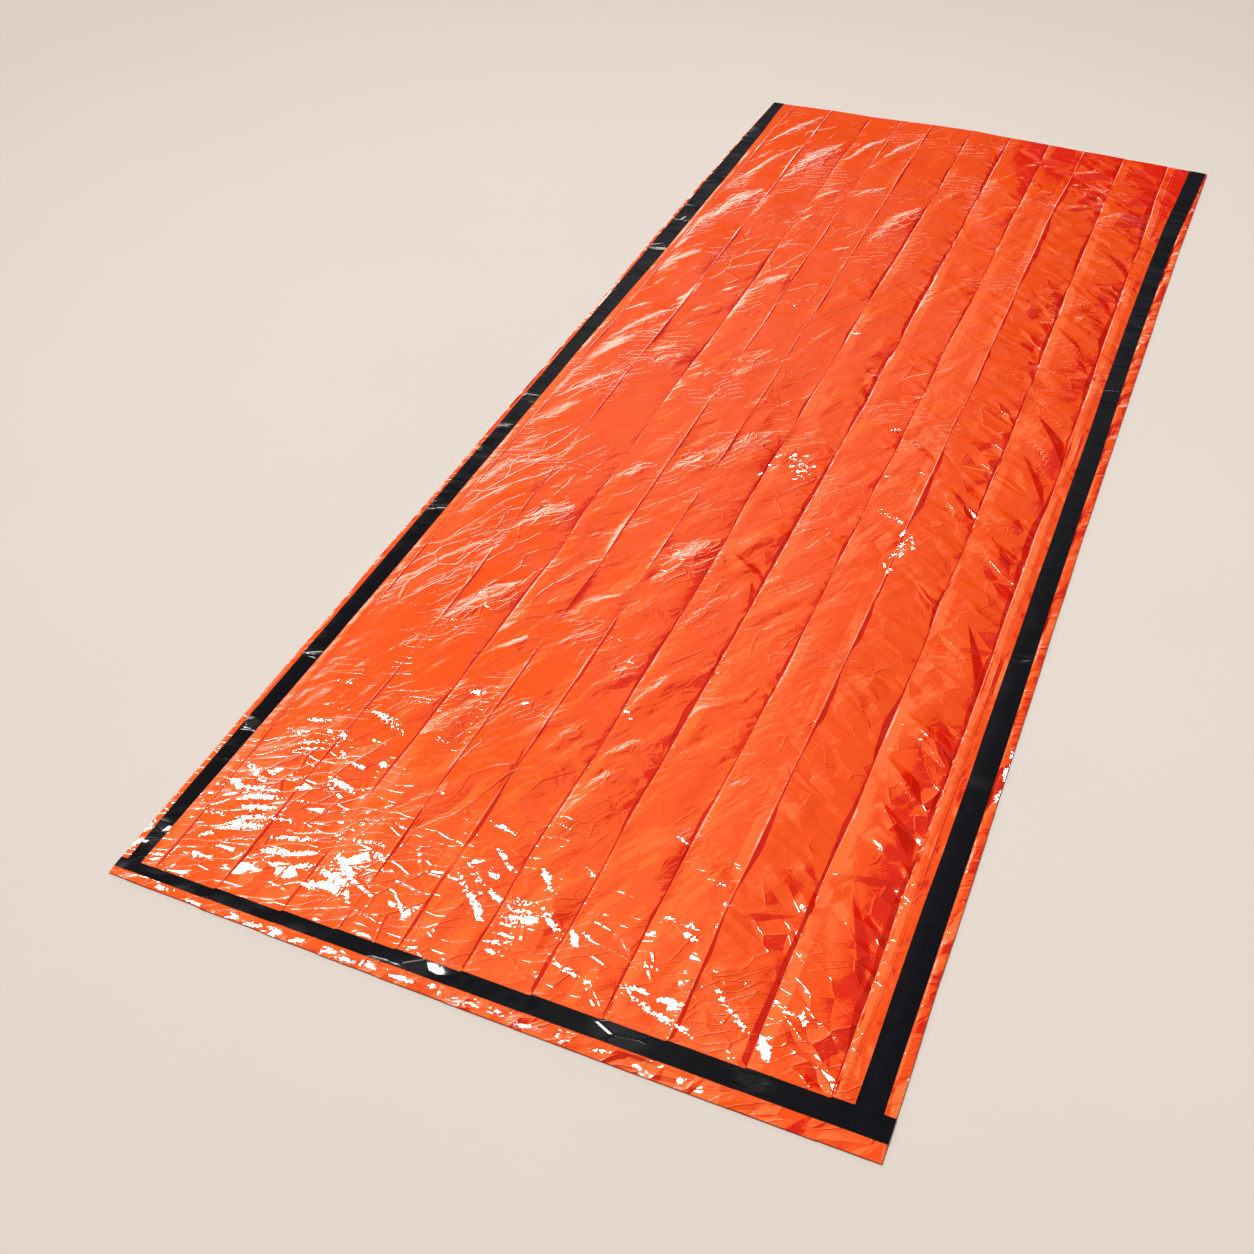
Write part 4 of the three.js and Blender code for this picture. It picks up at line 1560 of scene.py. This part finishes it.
def film_finish():
    material, output, place = new_finish("orange_film")
    bump = bump_of(wrinkle_height(place) - crease_depth(place) + ruck_flank(place))
    normal = shard_normal(place, bump)
    colour = painted_film_colour(place, bump)
    body = surface(place, {"Base Color": colour, "Roughness": 0.04, "IOR": 1.5, "Normal": normal})
    sheen = surface(place, {"Base Color": FILM_SHEEN, "Metallic": 1.0, "Roughness": 0.50, "Normal": bump})
    mixed = place.node("ShaderNodeMixShader", {}, {"Fac": SHEEN_SHARE, 1: body, 2: sheen}, "Shader")
    place.tree.links.new(mixed.socket, output.inputs["Surface"])
    return material


# %% [markdown]
# The tape is a black, half-glossy plastic ribbon. Pressed on by hand, it has faint facets all along and
# stronger ones at the kinks, where it is also glossier. A painted reflection makes it a little paler
# away from the viewer, towards the mouth.

# %% Black tape
TAPE_NEAR = (0.004, 0.004, 0.0065, 1)
# Painted reflection: the tape's colour towards the mouth.
TAPE_PAINTED_REFLECTION = (0.010, 0.010, 0.014, 1)
TAPE_KINKED = (0.006, 0.006, 0.008, 1)
TAPE_NET = Net(40, 2.4, 14, 1.4, 0.55, 0.55)
PLAIN_FACETS = 0.10
PLAIN_LINES = 0.06


def tape_finish():
    material, output, place = new_finish("black_tape")
    kinked, roll, _ = read(place, "kink")
    edge, chance = net(place, TAPE_NET)
    ridge = (1.0 - edge / TAPE_NET.width).least(0.0) * TAPE_NET.height
    tent = edge * chance * (kinked * TAPE_NET.slope + PLAIN_FACETS)
    height = tent + ridge * (kinked + PLAIN_LINES) + roll
    bump = bump_of(height)
    # Painted reflection: paler towards the mouth, away from the viewer.
    far = place.node("ShaderNodeSeparateXYZ", {}, {0: place}, "Y").ramp(-0.3, 0.6)
    colour = mix_colours(far, TAPE_NEAR, TAPE_PAINTED_REFLECTION)
    body = {"Base Color": colour, "Roughness": 0.12, "Specular IOR Level": 0.17, "Normal": bump}
    gloss = {"Base Color": TAPE_KINKED, "Roughness": 0.05, "Specular IOR Level": 0.5, "Normal": bump}
    sockets = {"Fac": kinked, 1: surface(place, body), 2: surface(place, gloss)}
    mixed = place.node("ShaderNodeMixShader", {}, sockets, "Shader")
    place.tree.links.new(mixed.socket, output.inputs["Surface"])
    return material


film = film_finish()
tape = tape_finish()
for piece, finish in (
    (front_film, film),
    (back_film, film),
    (left_tape, tape),
    (right_tape, tape),
    (bottom_tape, tape),
):
    piece.data.materials.clear()
    piece.data.materials.append(finish)
    print(piece.name, "wears", finish.name)

# %% [markdown]
# ## Hand-over
#
# Each sheet rides on the bag's one body and takes the place of the solid that it dresses.

# %% Hand the pieces to the frame
for piece, node in (
    (front_film, "front_panel"),
    (back_film, "back_panel"),
    (left_tape, "seam_tape_left"),
    (right_tape, "seam_tape_right"),
    (bottom_tape, "seam_tape_foot"),
):
    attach(piece, "root")
    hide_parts(node)
    print(piece.name, "takes the place of", node)

# %% [markdown]
# ## The floor
#
# The bag lies on a pale, warm floor, with painted shade that makes it a little darker away from the
# bag. A plane is enough, with faint mottling so that it doesn't look drawn.

# %% Floor
FLOOR_SIZE = 40.0
FLOOR_DARK = (0.770, 0.687, 0.622, 1)
FLOOR_PALE = (0.800, 0.717, 0.650, 1)
# Painted shade: the floor's colour far from the bag.
FLOOR_PAINTED_SHADE = (0.636, 0.556, 0.492, 1)
FLOOR_SHADE_FADE = (0.6, 2.8)

bpy.ops.object.select_all(action="DESELECT")
bpy.ops.mesh.primitive_plane_add(size=FLOOR_SIZE)
floor = bpy.context.object
floor.name = "floor"
floor_material, floor_output, floor_place = new_finish("pale_floor")
sockets = {"Vector": floor_place, "Scale": 3.0, "Detail": 6.0}
mottle = floor_place.node("ShaderNodeTexNoise", {}, sockets, "Fac")
away = floor_place.node("ShaderNodeVectorMath", {"operation": "LENGTH"}, {0: floor_place}, "Value")
# Painted shade darkens the floor away from the bag.
floor_colour = mix_colours(away.ramp(*FLOOR_SHADE_FADE), mix_colours(mottle, FLOOR_DARK, FLOOR_PALE), FLOOR_PAINTED_SHADE)
floor_body = surface(floor_place, {"Base Color": floor_colour, "Roughness": 0.8})
floor_place.tree.links.new(floor_body.socket, floor_output.inputs["Surface"])
floor.data.materials.append(floor_material)
print("floor:", FLOOR_SIZE, "m square")

# %% [markdown]
# ## Camera
#
# The bag's own edges gave the camera away: lines that are parallel on the bag meet in the photo, and
# where they meet says how the camera was turned. Its distance follows from the width of the foot.

# %% Camera
CAMERA_LOOK = Vector((-0.29586506, 0.6860941, -0.66463431))
CAMERA_ROLL = math.radians(-0.366)
CAMERA_LENS = 44.57
CAMERA_SENSOR = 36.0

camera_data = bpy.data.cameras.new("camera")
camera_data.lens = CAMERA_LENS
camera_data.sensor_width = CAMERA_SENSOR
camera = bpy.data.objects.new("camera", camera_data)
bpy.context.scene.collection.objects.link(camera)
aim = CAMERA_LOOK.to_track_quat("-Z", "Y").to_matrix().to_4x4()
camera.matrix_world = Matrix.Translation(CAMERA_PLACE) @ aim @ Matrix.Rotation(CAMERA_ROLL, 4, "Z")
bpy.context.scene.camera = camera
print("camera stands", round(CAMERA_PLACE.z, 2), "m above the floor")

# %% [markdown]
# ## Lights
#
# One large softbox stands far off, on the left behind the head. A sun lamp with a wide disc does the
# same for a bag of this size and gives less noise.

# %% Softbox
KEY_STRENGTH = 2.30
KEY_ANGLE = 16.0

key_data = bpy.data.lights.new("distant_softbox", "SUN")
key_data.energy = KEY_STRENGTH
key_data.angle = math.radians(KEY_ANGLE)
key = bpy.data.objects.new("distant_softbox", key_data)
bpy.context.scene.collection.objects.link(key)
key.matrix_world = Vector(KEY_FROM).to_track_quat("Z", "Y").to_matrix().to_4x4()
print("softbox:", KEY_ANGLE, "degrees across")

# %% [markdown]
# The room is drawn on the sky: a pale wall low on the left, which the streaks reflect, a ceiling that
# is brighter on the left than on the right, and a dark flag around the softbox that keeps the film from
# going milky. Walls and cards could be modelled, but the sky adds no pieces and no noise.

# %% Room
BACKDROP = 0.55
ROOM_TINT = (1, 0.95, 0.90, 1)
ROOM_DIM = 0.025
CEILING = 0.24
LEFT_CEILING = 0.36
WALL_SLANT = 0.8
WALL_TOP = (-0.06, 0.04)
WALL_START = (0.50, 0.68)
WALL_SIDE = (0.15, 0.65)
WALL_GLOW = (1.5, 5.0)
LEFT_SLANT = 0.03
LEFT_ENDS = (-0.26, 0.0)
CEILING_EDGE = (0.42, 0.56)
LEFT_CEILING_EDGE = (0.30, 0.57)
FLAG_EDGE = (0.01, 0.075)
FLAG_SHADE = 0.25
FLAG_EAST = -0.45
FLAG_NORTH = 0.56
FLAG_UP = 0.69
FLAG_SLIMNESS = 1.6

world = bpy.data.worlds.new("studio")
bpy.context.scene.world = world
world.use_nodes = True
world.node_tree.nodes.clear()
sky_place = world.node_tree.nodes.new("ShaderNodeTexCoord")
toward = Wire(world.node_tree, sky_place.outputs["Generated"])
east, north, up = (toward.node("ShaderNodeSeparateXYZ", {}, {0: toward}, axis) for axis in "XYZ")
left_wall = (up + east * WALL_SLANT).ramp(*WALL_TOP, 1.0, 0.0) * north.ramp(*WALL_START)
wall_glow = (0.0 - east).ramp(*WALL_SIDE, *WALL_GLOW)
on_left = (east + north * LEFT_SLANT).ramp(*LEFT_ENDS, 1.0, 0.0)
off_east = east - FLAG_EAST
off_north = north - FLAG_NORTH
off_up = up - FLAG_UP
flag_apart = off_east * off_east * FLAG_SLIMNESS + off_north * off_north + off_up * off_up
flag = flag_apart.ramp(*FLAG_EDGE, FLAG_SHADE, 1.0)
room = up.ramp(*CEILING_EDGE) * CEILING + up.ramp(*LEFT_CEILING_EDGE) * on_left * LEFT_CEILING
strength = ROOM_DIM + left_wall * wall_glow + room * flag
looked_at = toward.node("ShaderNodeLightPath", {}, {}, "Is Camera Ray")
strength = strength * (1.0 - looked_at) + looked_at * BACKDROP
sockets = {"Color": ROOM_TINT, "Strength": strength}
background = toward.node("ShaderNodeBackground", {}, sockets, "Background")
world_output = world.node_tree.nodes.new("ShaderNodeOutputWorld")
world.node_tree.links.new(background.socket, world_output.inputs["Surface"])
bpy.context.scene.view_settings.view_transform = "Standard"
print("lights:", key.name, "and", world.name)

# %% [markdown]
# ## Finish
#
# The view layer is brought up to date.

# %% Finish
bpy.context.view_layer.update()
